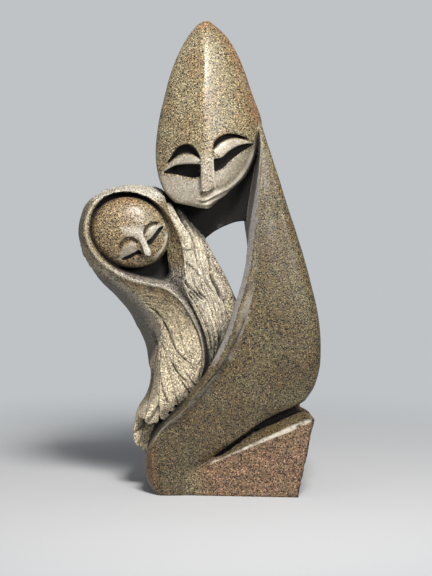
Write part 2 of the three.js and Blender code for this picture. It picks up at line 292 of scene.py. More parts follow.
tallHead = {
    "left": alongHeight([
        (258.5, 1), (262, -17), (270, -28.5), (280, -34.5), (292, -38), (308, -39.4), (328, -37.8),
        (343, -35.2), (357, -31.8), (372, -28.2), (386, -23.4), (400, -17.4), (411, -11.2), (418, -6),
        (423, -1.6), (426.5, 4),
    ]),
    "right": alongHeight([
        (258.5, 10), (264, 16), (271, 24), (277, 32), (286, 41.5), (298, 48.5), (314, 53.5), (328, 56.5),
        (336, 56.4), (350, 52), (364, 46.8), (379, 41.8), (393, 36), (405, 29.8), (412, 25.2),
        (418, 19.5), (423, 13.6), (426.5, 9.4),
    ]),
    "keel": alongHeight([(258.5, 7), (310, 5), (358, 4.4), (400, 5), (426.5, 6.6)]),
    "front": alongHeight([
        (258.5, -45), (275, -49), (310, -51), (345, -46), (380, -36), (405, -24.5), (418, -15.5),
        (424, -8.5), (426.5, -3),
    ]),
    "shoulder": alongHeight([(258.5, -30), (275, -22), (310, -13), (360, -9), (405, -5), (426.5, 0)]),
    "back": alongHeight([
        (258.5, -24), (264, -8), (275, 14), (292, 30), (320, 34), (360, 28), (395, 18), (418, 8), (426.5, 2),
    ]),
    "softness": alongHeight([(258.5, 0.04), (320, 0.05), (360, 0.05), (400, 0.06), (426.5, 0.5)]),
    "leftBow": 0.34,
    "rightBow": 0.8,
    "around": 200,
}


def headSlice(z):
    # two bowed facets that meet on a soft keel in front, and a plain round back
    left, right, keel = tallHead["left"](z), tallHead["right"](z), tallHead["keel"](z)
    front, back, shoulder = tallHead["front"](z), tallHead["back"](z), tallHead["shoulder"](z)
    soft = tallHead["softness"](z)
    points = []
    for turn in np.linspace(0, 2 * math.pi, tallHead["around"], endpoint=False):
        u = math.cos(turn)
        bow = tallHead["rightBow"] if u > 0 else tallHead["leftBow"]
        x = keel + u * (right - keel if u > 0 else keel - left)
        if math.sin(turn) < 0:
            roof = 1 - (math.hypot(u, soft) - soft) / (math.hypot(1, soft) - soft)
            y = shoulder + (front - shoulder) * ((1 - bow) * roof + bow * math.sqrt(1 - u * u))
        else:
            y = shoulder + (back - shoulder) * (1 - abs(u) ** 2.4) ** 0.5
        points.append((x, y))
    return points


def spread(bottom, top, count, crowding=1.0):
    share = 1 - (1 - np.linspace(0, 1, count + 1)) ** crowding
    return bottom + (top - bottom) * share


def plateBlock(name, outline, front, back, slant=None):
    rings = []
    for y in (front, back):
        rings.append([(x, slant(x, z) if slant and y == front else y, z) for x, z in outline])
    return ringStack(name, rings)


body = loftMass("tallBodyMass", spread(tallBody["bottom"], tallBody["top"], 70), bodySlice)
head = loftMass("tallHeadMass", spread(258.5, 426.5, 56, 1.6), headSlice)
neck = plateBlock("neckMass", smoothLine([
    (-26, 268), (-14, 246), (4, 229), (12, 235), (23, 241), (34, 245), (46, 247), (55, 262),
    (55, 300), (51, 318), (40, 322), (10, 300), (-22, 296),
], 60, closed=True), -5, 26)
print("tall figure blocked out")


# small figure

shawl = {
    "left": alongHeight([
        (35, -53), (41, -59), (49, -63), (61, -61), (73, -58), (85, -51), (100, -47), (116, -48),
        (135, -52), (149, -59.5), (166, -69), (178, -79.5), (192, -93), (206, -102), (217, -108),
        (233, -111.5), (251, -109), (262, -104), (271, -93), (276, -82), (279, -70),
    ]),
    "right": alongHeight([
        (35, -44), (49, -38), (61, -20), (73, -8), (85, 4), (100, 14), (116, 24), (135, 36), (149, 41),
        (166, 38), (179, 32.5), (194, 26), (207, 19), (219, 12), (231, 5.5), (246, -8), (263, -20),
        (271, -27), (276, -36), (279, -50),
    ]),
    "crest": alongHeight([
        (35, -49), (61, -38), (75, -25), (90, -8), (105, 4), (121, 8), (143, 3), (167, -6),
        (193, -15), (214, -15), (234, -19), (252, -27), (266, -38), (279, -56),
    ]),
    "front": alongHeight([
        (35, -21), (60, -31), (80, -34), (100, -36), (125, -38.5), (150, -41), (180, -45), (205, -48),
        (240, -48), (260, -46), (270, -41.5), (276, -34), (279, -24),
    ]),
    "brink": alongHeight([(35, 3), (70, 8), (120, 13), (170, 15), (200, 11), (240, 9), (279, 12)]),
    "rightDepth": alongHeight([(35, -12), (100, -22), (140, -24), (175, -14), (230, -10), (279, -4)]),
    "back": alongHeight([(35, 34), (80, 40), (160, 36), (230, 34), (262, 28), (279, 8)]),
}


def shawlSlice(z):
    left, right, crest = shawl["left"](z), shawl["right"](z), shawl["crest"](z)
    front, back, brink = shawl["front"](z), shawl["back"](z), shawl["brink"](z)
    width = right - left
    return filledSlice([
        (left + brink, front, 0.1 * width, 1.2),
        (crest, front + 1, 4, 1),
        (right, shawl["rightDepth"](z), 5, 0.5),
        (right - 0.08 * width, back - 8, 0.16 * width, 1.5),
        (left + 0.18 * width, back, 0.2 * width, 1),
        (left - 0.3, 2, 0.1 * width, 1.4),
    ])


# the hood's recess: its mouth on the front and its smaller floor, both anticlockwise from the left
recess = {
    "mouth": [
        (-98.5, 238), (-92, 222), (-82, 210.5), (-70, 202.5), (-56, 197), (-42, 193.8), (-28, 191.5),
        (-19, 193), (-15, 202), (-14, 216), (-17.5, 232), (-23, 246), (-31, 258), (-41, 266.5),
        (-53, 272.5), (-67, 274.5), (-80, 271.5), (-91, 263), (-97, 250),
    ],
    "floor": [
        (-98, 238), (-92, 223), (-82, 212.5), (-70, 204.5), (-56, 199.5), (-42, 196.5), (-31, 196),
        (-28, 199), (-27.5, 207), (-28.5, 218), (-28.5, 232), (-30.5, 245), (-35.5, 256), (-43.5, 265),
        (-54, 270.5), (-67, 272.5), (-79, 269.5), (-89.5, 261.5), (-96, 249.5),
    ],
    "levels": [-95, -44, -38.5, -33, -22],
    "closing": [0, 0, 0.5, 1, 1],
}


def recessBlock():
    mouth = smoothLine(recess["mouth"], 120, closed=True)
    floor = smoothLine(recess["floor"], 120, closed=True)
    rings = []
    for y, share in zip(recess["levels"], recess["closing"]):
        outline = mouth + (floor - mouth) * share
        rings.append([(x, y, z) for x, z in outline])
    return ringStack("recessCut", rings)


rim = {
    "route": [
        (-82, -39, 271.5), (-93, -43, 262.5), (-99.5, -46, 247), (-99.5, -47, 234), (-93, -47.5, 219.5),
        (-83, -47.5, 208.5), (-71, -47.5, 200.5), (-57, -47.5, 194.5), (-42, -47, 191), (-30, -46.5, 188),
        (-22, -46, 182.5), (-13, -44.5, 173), (-6, -43, 161), (0, -41.5, 148), (3.5, -39.5, 133),
        (4, -37, 118), (1, -35, 105),
    ],
    "radius": alongHeight([(0, 1.2), (0.06, 2.2), (0.5, 2.3), (0.62, 1.6), (0.75, 1.25), (1, 1)]),
}


def tubeBlock(name, route, radiusAt, steps=90, around=12):
    line = smoothLine(route, steps)
    ahead = np.gradient(line, axis=0)
    ahead /= np.linalg.norm(ahead, axis=1, keepdims=True)
    outward = np.cross(ahead, (0, 1, 0))
    outward /= np.linalg.norm(outward, axis=1, keepdims=True)
    forward = np.cross(outward, ahead)
    rings = []
    for k, spot in enumerate(line):
        turns = np.linspace(0, 2 * math.pi, around, endpoint=False)
        wide = radiusAt(k / steps)
        rings.append([spot + wide * (math.cos(a) * outward[k] + math.sin(a) * forward[k]) for a in turns])
    return ringStack(name, rings)


# the flute: the recess's slanted wall runs on down between the ridge and the tooled hair
flute = {
    "ridge": [(-31, 197), (-26.5, 191.5), (-19.5, 184), (-11, 174.5), (-4, 162), (1, 149), (4.5, 134), (5, 120), (2, 106)],
    "bank": [(-14.5, 208), (-14, 195), (-10.5, 182), (-5, 170), (0.5, 158), (5.5, 145), (8.8, 132), (9.8, 120), (5, 105)],
    "levels": [0, 0.1, 0.35, 0.65, 0.88, 1],
    "floors": [4.6, 5.4, 4.4, 2.6, 1, 0],
    "opening": 2.1,    # how much deeper it is where it leaves the recess
}

smallHead = {
    "centre": (-63.7, -33, 237.2),
    "radii": (36, 19, 31.4),
    "chinTurn": math.radians(-44),
    "chinReach": 3.5,
    "nose": [
        (-60.5, 247.5), (-56.6, 240), (-53.2, 232.7), (-49.6, 223.9), (-47.6, 217.2), (-42.6, 216.4),
        (-41.6, 220.2), (-45.2, 227.1), (-48.8, 233.5), (-50, 239.2), (-48.2, 244), (-48.4, 247.5),
    ],
    "noseTop": (-57.5, -51.2, 244),
    "noseLean": (0.09, 0.105),
}


def smallHeadMass():
    deselectAll()
    bpy.ops.mesh.primitive_uv_sphere_add(segments=96, ring_count=64, radius=1, rotation=(math.pi / 2, 0, 0))
    piece = bpy.context.object
    piece.name = "smallHeadMass"
    bpy.ops.object.transform_apply(location=False, rotation=True, scale=False)
    p = coordinatesOf(piece)
    toChin = np.maximum(0, p[:, 0] * math.cos(smallHead["chinTurn"]) + p[:, 2] * math.sin(smallHead["chinTurn"]))
    longer = 1 + smallHead["chinReach"] / smallHead["radii"][0] * toChin ** 4
    stretch = np.stack([longer, np.ones(len(p)), longer], 1)
    placeVertices(piece, np.array(smallHead["centre"]) + p * smallHead["radii"] * stretch)
    return piece


def noseFront(x, z):
    # the flat front of the small nose carries on from the brow in one plane
    top, lean = smallHead["noseTop"], smallHead["noseLean"]
    return top[1] + lean[0] * (x - top[0]) + lean[1] * (z - top[2])


# the undercut that frees the fanned hem of the shawl from the sweep of the tall body
hem = {
    "edge": [
        (-51, 64.5), (-46, 63), (-41, 62), (-36, 66), (-31, 69), (-25.5, 75.5), (-19, 80), (-13, 86.5),
        (-7, 89), (-2, 96), (4, 101),
    ],
    "feather": 9.4,
    "featherDepth": 3.2,
}


def hemBlock():
    line = smoothLine(hem["edge"], 120)
    reach = np.concatenate([[0], np.cumsum(np.linalg.norm(np.diff(line, axis=0), axis=1))])
    line[:, 1] += hem["featherDepth"] * (0.5 - np.abs(np.sin(math.pi * (reach / hem["feather"] + 0.12 * np.sin(0.4 * reach)))))
    around = [(-80, 68), (-66, 70), (-56, 67), *line, (60, 101), (60, 20), (-80, 20)]
    return plateBlock("hemCut", around[::-1], -95, -14)


# eyes, cheeks and noses, cut by blocks that follow the face

def depthFinder(piece):
    tree = BVHTree.FromObject(piece, bpy.context.evaluated_depsgraph_get())

    def frontAt(x, z):
        hit = tree.ray_cast(Vector((x, -300, z)), Vector((0, 1, 0)))
        return hit[0].y if hit[0] is not None else -12

    return frontAt


def rowsBetween(lines, levels, steps):
    # rows of points blended between neighbouring lines, at levels counted in lines
    smooth = [smoothLine(line, steps) for line in lines]
    rows = []
    for level in levels:
        i = min(int(level), len(lines) - 2)
        rows.append(smooth[i] + (smooth[i + 1] - smooth[i]) * (level - i))
    return rows


def eyeBlock(name, eye, surface, depth):
    # brow, upper lid edge, lower lid edge and slit edge, from the outer corner to the nose
    levels = [0, 0.35, 0.75, 1, 1.2, 1.45, 1.75, 2, 2, 2.5, 3]
    floor = [0.75, 0.9, 0.75, 0.36, 0.2, 0.12, 0.08, 0.1, 1.2, 1.3, 1.2]
    steps = 44
    rows = rowsBetween([eye["brow"], eye["lidTop"], eye["lidEdge"], eye["slit"]], levels, steps)
    share = np.linspace(0, 1, steps + 1)
    taper = 0.22 + 0.78 * ease(0, 0.32, share)
    floors = [depth * f * taper for f in floor]
    return ribbonBlock(name, rows, floors, surface)


def cheekBlock(name, cheek, surface):
    levels = np.linspace(0, 1, 9)
    steps = 30
    rows = rowsBetween([cheek["top"], cheek["jaw"]], levels, steps)
    share = np.linspace(0, 1, steps + 1)
    floors = [(cheek["outer"] + (cheek["inner"] - cheek["outer"]) * share ** 0.8) * (1 - v) ** 0.8
              + cheek["jawDepth"] * v for v in levels]
    return ribbonBlock(name, rows, floors, surface)


tallFace = {
    "eyes": [
        {
            "brow": [
                (-33.4, 290.6), (-28.8, 298.6), (-24.8, 304.4), (-20.6, 310.9), (-14, 315), (-8, 315.2),
                (-3.4, 312), (1.6, 303.5),
            ],
            "lidTop": [(-33.4, 290.4), (-26.3, 299.4), (-20.4, 303.5), (-13, 306.2), (-6.4, 306), (1.6, 302.6)],
            "lidEdge": [(-33.4, 289.8), (-19.6, 296.9), (-9.7, 298.1), (1.8, 297.9)],
            "slit": [(-33.4, 289.6), (-23, 288.8), (-12.9, 287), (-4.7, 285.6), (1.8, 287)],
        },
        {
            "brow": [
                (49.6, 316.5), (44.9, 319.6), (38.1, 322.6), (31.2, 324.4), (24.5, 324.5), (17.8, 321.6),
                (13.4, 317), (12.3, 311.5),
            ],
            "lidTop": [
                (49.6, 316.3), (44.6, 318.6), (37.9, 320.5), (31.2, 320.9), (24.5, 319.2), (17.8, 315.4), (12.4, 310),
            ],
            "lidEdge": [(49.6, 316), (41.5, 315.6), (34.7, 313.9), (26.6, 309.4), (20, 303.9), (12.8, 302.4)],
            "slit": [(49.6, 315), (38.1, 309), (27.9, 301), (19.5, 293.2), (13.6, 291)],
        },
    ],
    "eyeDepth": 9.6,
    "cheeks": [
        {
            "top": [(-34.5, 288.6), (-23, 288.8), (-12.9, 287), (-4.7, 285.6), (1.9, 287)],
            "jaw": [(-32.5, 281), (-26, 271), (-17, 264.5), (-8, 262.2), (1.9, 263)],
            "outer": 0.6, "inner": 6.2, "jawDepth": 0.2,
        },
        {
            "top": [(50, 314.6), (38.1, 309), (27.9, 301), (19.5, 293.2), (13.6, 291)],
            "jaw": [(48.6, 303), (43.5, 293), (36, 284.5), (27, 277.5), (14.2, 271)],
            "outer": 0.6, "inner": 6.4, "jawDepth": 0.6,
        },
        {
            "top": [(22, 280.5), (14.6, 277), (8, 274), (1.2, 272.8)],
            "jaw": [(22.5, 274.6), (12, 269.6), (7.2, 267.2), (-1.4, 266.6)],
            "outer": 2.6, "inner": 6.4, "jawDepth": 0.6,
        },
    ],
}
smallFace = {
    "eyes": [
        {
            "brow": [(-71, 213.2), (-70.9, 223), (-69, 229.2), (-64.8, 233), (-59.5, 234), (-55.8, 232), (-53.6, 229)],
            "lidTop": [(-71, 213), (-70.2, 220), (-66.7, 225.4), (-60.8, 228.8), (-54.2, 227.6)],
            "lidEdge": [(-70.8, 212.8), (-66.7, 215.4), (-62.4, 217.4), (-57.2, 220), (-53, 222.6)],
            "slit": [(-70.6, 212.4), (-65, 213.2), (-59, 215.8), (-53.8, 218.3), (-49.6, 218)],
        },
        {
            "brow": [(-29.9, 244.8), (-36.3, 246.6), (-43.6, 245.6), (-48, 241.5), (-49.6, 236.4)],
            "lidTop": [(-29.9, 244.6), (-36.3, 244.7), (-42.3, 242.8), (-46.4, 239.4), (-48.4, 235.3)],
            "lidEdge": [(-29.9, 244.4), (-35.2, 241.6), (-39.4, 236.8), (-43.2, 232.3), (-46.8, 229.7)],
            "slit": [(-29.8, 244), (-34.2, 238), (-38.8, 231.4), (-42.6, 226.6), (-45, 225)],
        },
    ],
    "eyeDepth": 4.6,
    "cheeks": [
        {
            "top": [(-71.2, 211.8), (-65, 213.2), (-59, 215.8), (-53.8, 218.3), (-49.4, 218)],
            "jaw": [(-66, 208.6), (-59, 207.4), (-52, 208.2), (-46.8, 211)],
            "outer": 0.3, "inner": 3.6, "jawDepth": 0.2,
        },
        {
            "top": [(-29.6, 242.8), (-34.2, 238), (-38.8, 231.4), (-42.6, 226.6), (-44.4, 224)],
            "jaw": [(-29.4, 234.4), (-31.2, 226.8), (-34.6, 220.8), (-40.6, 214.4)],
            "outer": 0.3, "inner": 3.8, "jawDepth": 0.2,
        },
    ],
}


def fluteBlock(surface, steps=48):
    rows = rowsBetween([flute["ridge"], flute["bank"]], flute["levels"], steps)
    share = np.linspace(0, 1, steps + 1)
    deeper = 1 + (flute["opening"] - 1) * ease(0.3, 0, share)
    return ribbonBlock("fluteCut", rows, [floor * deeper for floor in flute["floors"]], surface)


shawlMass = loftMass("shawlMass", spread(35, 279, 56, 1.25), shawlSlice)
shawlFront = depthFinder(shawlMass)
combine(shawlMass, [recessBlock(), hemBlock(), fluteBlock(shawlFront)], "DIFFERENCE")
combine(shawlMass, [tubeBlock("rimBead", rim["route"], rim["radius"])], "UNION")
print("small figure blocked out")


def carveFace(piece, face, label):
    surface = depthFinder(piece)
    cutters = [eyeBlock(f"{label}Eye{k}", eye, surface, face["eyeDepth"]) for k, eye in enumerate(face["eyes"])]
    cutters += [cheekBlock(f"{label}Cheek{k}", cheek, surface) for k, cheek in enumerate(face["cheeks"])]
    combine(piece, cutters, "DIFFERENCE")


carveFace(head, tallFace, "tall")
smallHeadPiece = smallHeadMass()
carveFace(smallHeadPiece, smallFace, "small")
combine(smallHeadPiece, [plateBlock("smallNose", smallHead["nose"], -54, -36, noseFront)], "UNION")
print("faces carved")


# foot

foot = {
    "outline": [
        (-34, 0), (89.5, 0), (96.5, 38), (103.5, 72), (93, 77.5), (60, 62.8), (25, 39.2), (10, 31), (-34, 3),
    ],
    "flushFront": -44.5,
    "forward": (0.09, 0.024),
    "front": -55,
    "back": 55,
    "facet": [(10, -45, 31), (98, -55, 71), (93, -42, 77.5)],
    "backDrop": 11,
    "core": [(-20, 20), (84, 20), (92, 66), (92, 92), (70, 80), (30, 52), (18, 40)],
    "grooveDepth": 32,
}


def footSlant(x, z):
    return max(foot["front"], foot["flushFront"] - foot["forward"][0] * x - foot["forward"][1] * z)


wedge = plateBlock("wedgeMass", foot["outline"], foot["front"], foot["back"], footSlant)
wedgePlaces = coordinatesOf(wedge)
wedgePlaces[:, 2] -= foot["backDrop"] * (wedgePlaces[:, 1] > 0) * (wedgePlaces[:, 2] > 50)
placeVertices(wedge, wedgePlaces)
core = plateBlock("coreMass", foot["core"], foot["front"] + foot["grooveDepth"], foot["back"] - 8)
tip, brow, crest = (Vector(p) for p in foot["facet"])
facetNormal = (brow - tip).cross(crest - tip).normalized()
deselectAll()
bpy.ops.mesh.primitive_cube_add(size=1)
slab = bpy.context.object
slab.name = "facetCut"
slabPlaces = coordinatesOf(slab) * (400, 400, 80) + (200, 0, 40)
turnToFacet = Vector((0, 0, 1)).rotation_difference(facetNormal)
placeVertices(slab, [turnToFacet @ Vector(p) + tip for p in slabPlaces])
combine(wedge, [slab], "DIFFERENCE")

masses = {
    "body": body, "head": head, "smallHead": smallHeadPiece, "neck": neck, "shawl": shawlMass,
    "wedge": wedge, "core": core,
}
bpy.context.view_layer.update()
massTrees = {name: BVHTree.FromObject(piece, bpy.context.evaluated_depsgraph_get()) for name, piece in masses.items()}
massBoxes = {name: (coordinatesOf(piece).min(0), coordinatesOf(piece).max(0)) for name, piece in masses.items()}
combine(body, [head, smallHeadPiece, neck, shawlMass, wedge, core], "UNION")
stone = body
stone.name = "coupleCarving"
print("masses joined:", len(stone.data.vertices), "vertices")


# one skin of even mesh over all the masses

skin = {"voxel": 0.75, "settle": 3, "budget": 196000}
choose(stone)
stone.data.remesh_voxel_size = skin["voxel"]
stone.data.use_remesh_preserve_volume = False
bpy.ops.object.voxel_remesh()
applyModifier(stone, "SMOOTH", factor=0.5, iterations=skin["settle"])
print("skinned:", len(stone.data.vertices), "vertices")

places = coordinatesOf(stone)
normals = normalsOf(stone)
count = len(places)
edges = np.empty(len(stone.data.edges) * 2, np.int64)
stone.data.edges.foreach_get("vertices", edges)
edges = edges.reshape(-1, 2)
degree = np.maximum(1, np.bincount(edges.ravel(), minlength=count))


def spreadOut(values, rounds):
    # each value is shared with its neighbours on the mesh
    for turn in range(rounds):
        shared = np.bincount(edges[:, 0], values[edges[:, 1]], count)
        shared += np.bincount(edges[:, 1], values[edges[:, 0]], count)
        values = (values + shared / degree) / 2
    return values


def massDistance(name, reach=3):
    tree, (low, high) = massTrees[name], massBoxes[name]
    gaps = np.full(count, float(reach))
    for k in np.flatnonzero(np.all((places > low - reach) & (places < high + reach), axis=1)):
        found = tree.find_nearest(places[k], reach)[3]
        if found is not None:
            gaps[k] = found
    return gaps


distances = {name: massDistance(name) for name in massTrees}
nearest = np.argmin(np.stack(list(distances.values())), axis=0)
on = {name: spreadOut((nearest == k).astype(float), 2) for k, name in enumerate(distances)}
print("regions found")


# noise and marks

def scatter(*wholes):
    # repeatable random values between 0 and 1 from whole numbers
    mixed = np.zeros(np.broadcast(*wholes).shape, np.uint64)
    for k, whole in enumerate(wholes):
        mixed ^= np.asarray(whole).astype(np.int64).astype(np.uint64) * np.uint64((73856093, 19349663, 83492791, 50331653)[k])
        mixed *= np.uint64(2654435761)
        mixed ^= mixed >> np.uint64(15)
    return (mixed & np.uint64(0xFFFFFF)).astype(float) / 0xFFFFFF


def cloud(spots, size, seed, layers=1):
    # smooth noise between -1 and 1
    total, weight = 0, 0
    for layer in range(layers):
        p = spots / size * 2 ** layer + 31.7 * (seed + layer)
        corner = np.floor(p).astype(np.int64)
        t = p - corner
        t = t * t * (3 - 2 * t)
        value = np.zeros(len(spots))
        for dx in (0, 1):
            for dy in (0, 1):
                for dz in (0, 1):
                    share = (t[:, 0] if dx else 1 - t[:, 0]) * (t[:, 1] if dy else 1 - t[:, 1])
                    share = share * (t[:, 2] if dz else 1 - t[:, 2])
                    value += share * scatter(corner[:, 0] + dx, corner[:, 1] + dy, corner[:, 2] + dz, seed + layer)
        total = total + (value * 2 - 1) * 0.55 ** layer
        weight += 0.55 ** layer
    return total / weight


def chiselMarks(across, along, width, length, seed):
    # long cells, one for each stroke: its lift, its tilt, and how near the next stroke is
    u, v = across / width, along / length
    cellU, cellV = np.floor(u).astype(np.int64), np.floor(v).astype(np.int64)
    best = np.full(len(u), 1e9)
    second = best.copy()
    lift, tilt = np.zeros(len(u)), np.zeros(len(u))
    for du in (-1, 0, 1):
        for dv in (-1, 0, 1):
            a, b = cellU + du, cellV + dv
            gapU = u - (a + 0.15 + 0.7 * scatter(a, b, seed))
            gapV = v - (b + 0.1 + 0.8 * scatter(a, b, seed + 1))
            gap = np.hypot(gapU, 0.8 * gapV)
            closer = gap < best
            second = np.where(closer, best, np.minimum(second, gap))
            lift = np.where(closer, scatter(a, b, seed + 2), lift)
            tilt = np.where(closer, gapU * (scatter(a, b, seed + 3) * 2 - 1), tilt)
            best = np.where(closer, gap, best)
    return lift, tilt, second - best


def besideLine(route, x, z):
    # gap from a line of (x, z) points, + on the right of one listed downwards, and the length along it
    best = np.full(len(x), 1e9)
    signed, reach, passed = best.copy(), np.zeros(len(x)), 0
    for (ax, az), (bx, bz) in zip(route, route[1:]):
        ex, ez = bx - ax, bz - az
        length = math.hypot(ex, ez)
        t = np.clip(((x - ax) * ex + (z - az) * ez) / length ** 2, 0, 1)
        gap = np.hypot(x - ax - t * ex, z - az - t * ez)
        closer = gap < best
        side = np.where(ex * (z - az) - ez * (x - ax) < 0, -1, 1)
        best = np.where(closer, gap, best)
        signed = np.where(closer, side * gap, signed)
        reach = np.where(closer, passed + t * length, reach)
        passed += length
    return signed, reach, passed


def lineMark(route, width, x, z, sharpness=1.0):
    # 1 along the middle of a line, falling to 0 at its width and towards its ends
    signed, reach, total = besideLine(smoothLine(route, 24), x, z)
    ends = ease(0, 0.2 * total, reach) * ease(total, 0.8 * total, reach)
    return np.clip(1 - np.abs(signed) / width, 0, 1) ** sharpness * (0.25 + 0.75 * ends)


# tool work

tools = {
    "hairLeft": [
        (-31.3, 269.9), (-29, 262), (-22.5, 245.8), (-16.5, 233.1), (-14.3, 221.6), (-13.6, 212.7),
        (-13.6, 202.5), (-13.9, 192.3), (-10.8, 182.6), (-5.4, 171), (0, 159), (5, 146), (8.3, 133), (9.5, 121), (6, 106),
    ],
    "hairRight": [
        (-28, 268.2), (-12.6, 252.9), (-1.5, 235.4), (7.6, 216.9), (16, 201.4), (22, 188.5),
        (26.4, 174.3), (26, 161.3), (24.8, 147.1), (22, 131.5), (15.6, 121), (8, 108),
    ],
    "hairEnd": 117,
    "slant": alongHeight([(110, 24), (175, 24), (215, 12), (250, 3), (272, 0)]),
    "fanLeft": [
        (-83, 208), (-70.8, 196.5), (-57.4, 184.1), (-48.5, 174), (-41.8, 166.1), (-37.3, 159.3), (-35.1, 152.6),
        (-34, 144.6), (-37.4, 135.6), (-41.8, 126.5), (-45.1, 117.4), (-47.8, 107.2), (-51.8, 95.9), (-60.8, 77.6),
    ],
    "fanCentre": (-36, 142),
    "fanTurn": math.radians(47),
    "cracks": [
        [(-15.4, 224.2), (-10.5, 221.5), (-5.5, 221.2)],
        [(-14.5, 213), (-7, 206.4), (-1, 199.6), (2, 195)],
        [(-14.4, 195.5), (-7.4, 186.8), (-1, 180.4), (6.6, 175.3)],
        [(-9, 186), (-4.5, 181), (0, 174)],
        [(-48.4, 175.4), (-39.4, 166.4), (-30.5, 155.2), (-26.1, 142.7), (-20.5, 131.4), (-12.6, 122.4), (-3.7, 116.7)],
        [(-34.3, 103.1), (-32.7, 93.9), (-27.6, 80.2)],
        [(-25.1, 119.6), (-18.4, 109.4), (-10.5, 101.4)],
    ],
    "crackDepth": 1.5,
    "lips": [
        [(-2.4, 266.4), (2.5, 265.9), (7.2, 266.8), (11.7, 269.4), (17, 272), (24, 276)],
        [(-1, 262.9), (4.1, 262.2), (9, 262.9), (13.4, 266), (21.4, 270.2), (28, 275.5)],
    ],
    "lipGap": [(-1.8, 264.6), (7, 264.6), (12.4, 267.6), (19, 270.9), (26, 275.4)],
    "smallLipGap": [(-50, 210.6), (-42.5, 210.6), (-39.6, 213.4), (-35.4, 218.8)],
    "smallJaw": [(-28.4, 239), (-28.9, 233), (-30.4, 226.6), (-33.2, 221.6), (-37, 216.6), (-41, 212)],
    "jawRim": [(17, 271.8), (24.5, 275.6), (33.4, 282.8), (41.5, 292.6), (46.9, 303.4), (50.2, 314)],
    "pit": [(-42.6, 147), (-40.6, 142), (-39.2, 136.5)],
    "chipStrip": [(29.2, 180), (27.7, 173.3), (28.6, 164.2), (30.5, 157.7)],
    "ochreLine": [(-8, 236), (-3.7, 229.6), (4, 216.8), (11.7, 201.3), (17, 188)],
}

x, y, z = places.T
inFront = ease(0.35, -0.05, normals[:, 1])
gapHairLeft = besideLine(smoothLine(tools["hairLeft"], 60), x, z)[0]
gapHairRight = besideLine(smoothLine(tools["hairRight"], 60), x, z)[0]
gapFanLeft = besideLine(smoothLine(tools["fanLeft"], 60), x, z)[0]
rimLine = smoothLine([(px, pz) for px, py, pz in rim["route"]], 70)
gapRim = besideLine(rimLine, x, z)[0]
gapMouth = besideLine(smoothLine(recess["mouth"], 90, closed=True), x, z)[0]    # + inside

onShawl = on["shawl"]
hair = onShawl * inFront * ease(-0.4, 1.2, gapHairLeft) * ease(0.8, -1.4, gapHairRight) * ease(271, 268, z)
hair = hair * ease(tools["hairEnd"] - 4, tools["hairEnd"] + 3, z)
band = onShawl * inFront * ease(-0.5, 1, gapHairRight) * ease(104, 112, z)
fan = onShawl * inFront * ease(-1.2, 1.6, gapFanLeft) * ease(-1.4, -3, gapRim) * ease(212, 204, z)
fluteWall = onShawl * ease(-0.6, 0.6, gapRim) * ease(0.4, -0.6, gapHairLeft) * ease(212, 200, z)
hood = onShawl * ease(-2.2, -3.6, gapRim) * ease(1, -1, gapFanLeft) * ease(186, 204, z) * ease(0.6, -0.6, gapHairLeft)
crown = onShawl * ease(262, 270, z)
hood = np.maximum(hood, crown)
sideBand = onShawl * inFront * ease(0.5, -1.5, gapFanLeft) * ease(206, 192, z)
behind = onShawl * ease(0.1, 0.5, normals[:, 1])
knob = onShawl * ease(78, 68, z)

# strokes of the hair: they leave its left edge on the slant and run on down with its right edge
hairWidth = np.maximum(4, gapHairLeft - gapHairRight)
hairShare = np.clip(gapHairLeft / hairWidth, 0, 1)
hairAcross = gapHairLeft - tools["slant"](z) * (1 - hairShare)
hairAlong = 1.15 * (272 - z) + 4 * hairShare
warp = 1.1 * cloud(places, 14, 3)


def strands(across, along, width, length, seed):
    # noise drawn out along the strokes
    return cloud(np.stack([across / width, along / length, np.zeros(len(across))], 1), 1, seed)


lift, tilt, gap = chiselMarks(hairAcross + 0.6 * warp, hairAlong, 6, 58, 11)
hairGroove = ease(0.12, 0.02, gap) * ease(0.75, 0.3, lift)
broad, narrow = strands(hairAcross + 0.6 * warp, hairAlong, 3.2, 42, 12), strands(hairAcross, hairAlong, 1.5, 26, 13)
hairRelief = 1.6 * (lift - 0.5) + 2.4 * tilt - 2 * hairGroove + 1.2 * broad + 1.1 * narrow
hairGroove = np.maximum.reduce([hairGroove, 0.75 * ease(-0.35, -0.75, broad), 0.5 * ease(-0.35, -0.8, narrow)])

# strokes of the fan: they spread from one place, and above it they run beside the rim
fanX, fanZ = x - tools["fanCentre"][0], z - tools["fanCentre"][1]
fanAngle = np.arctan2(fanX, -fanZ)
fanReach = np.hypot(fanX, fanZ)
inSpread = ease(tools["fanTurn"] + 0.05, tools["fanTurn"] - 0.05, fanAngle) * ease(8, -2, fanZ)
fanAcross = 34 * fanAngle
lift, tilt, gap = chiselMarks(fanAcross + 0.3 * warp, fanReach, 7.5, 90, 31)
narrow = strands(fanAcross, fanReach, 1.4, 45, 32)
spreadGroove = np.maximum(ease(0.09, 0.01, gap) * ease(0.85, 0.4, lift), 0.4 * ease(-0.4, -0.85, narrow))
spreadRelief = 1.5 * (lift - 0.5) + 1.9 * tilt - 1.2 * ease(0.12, 0, gap) + 0.6 * narrow
rimAlong = 0.66 * x - 0.75 * z
lift, tilt, gap = chiselMarks(gapRim + warp, rimAlong, 8, 44, 51)
narrow = strands(gapRim, rimAlong, 1.5, 30, 52)
besideGroove = np.maximum(0.6 * ease(0.1, 0.01, gap) * ease(0.8, 0.4, lift), 0.3 * ease(-0.4, -0.85, narrow))
besideRelief = 1.1 * (lift - 0.5) + 1.4 * tilt - 0.6 * ease(0.12, 0, gap) + 0.5 * narrow
stepDown = 0.8 * ease(tools["fanTurn"] + 0.12, tools["fanTurn"], fanAngle) * ease(6, -4, fanZ)
fanRelief = inSpread * spreadRelief + (1 - inSpread) * besideRelief - stepDown + 0.4
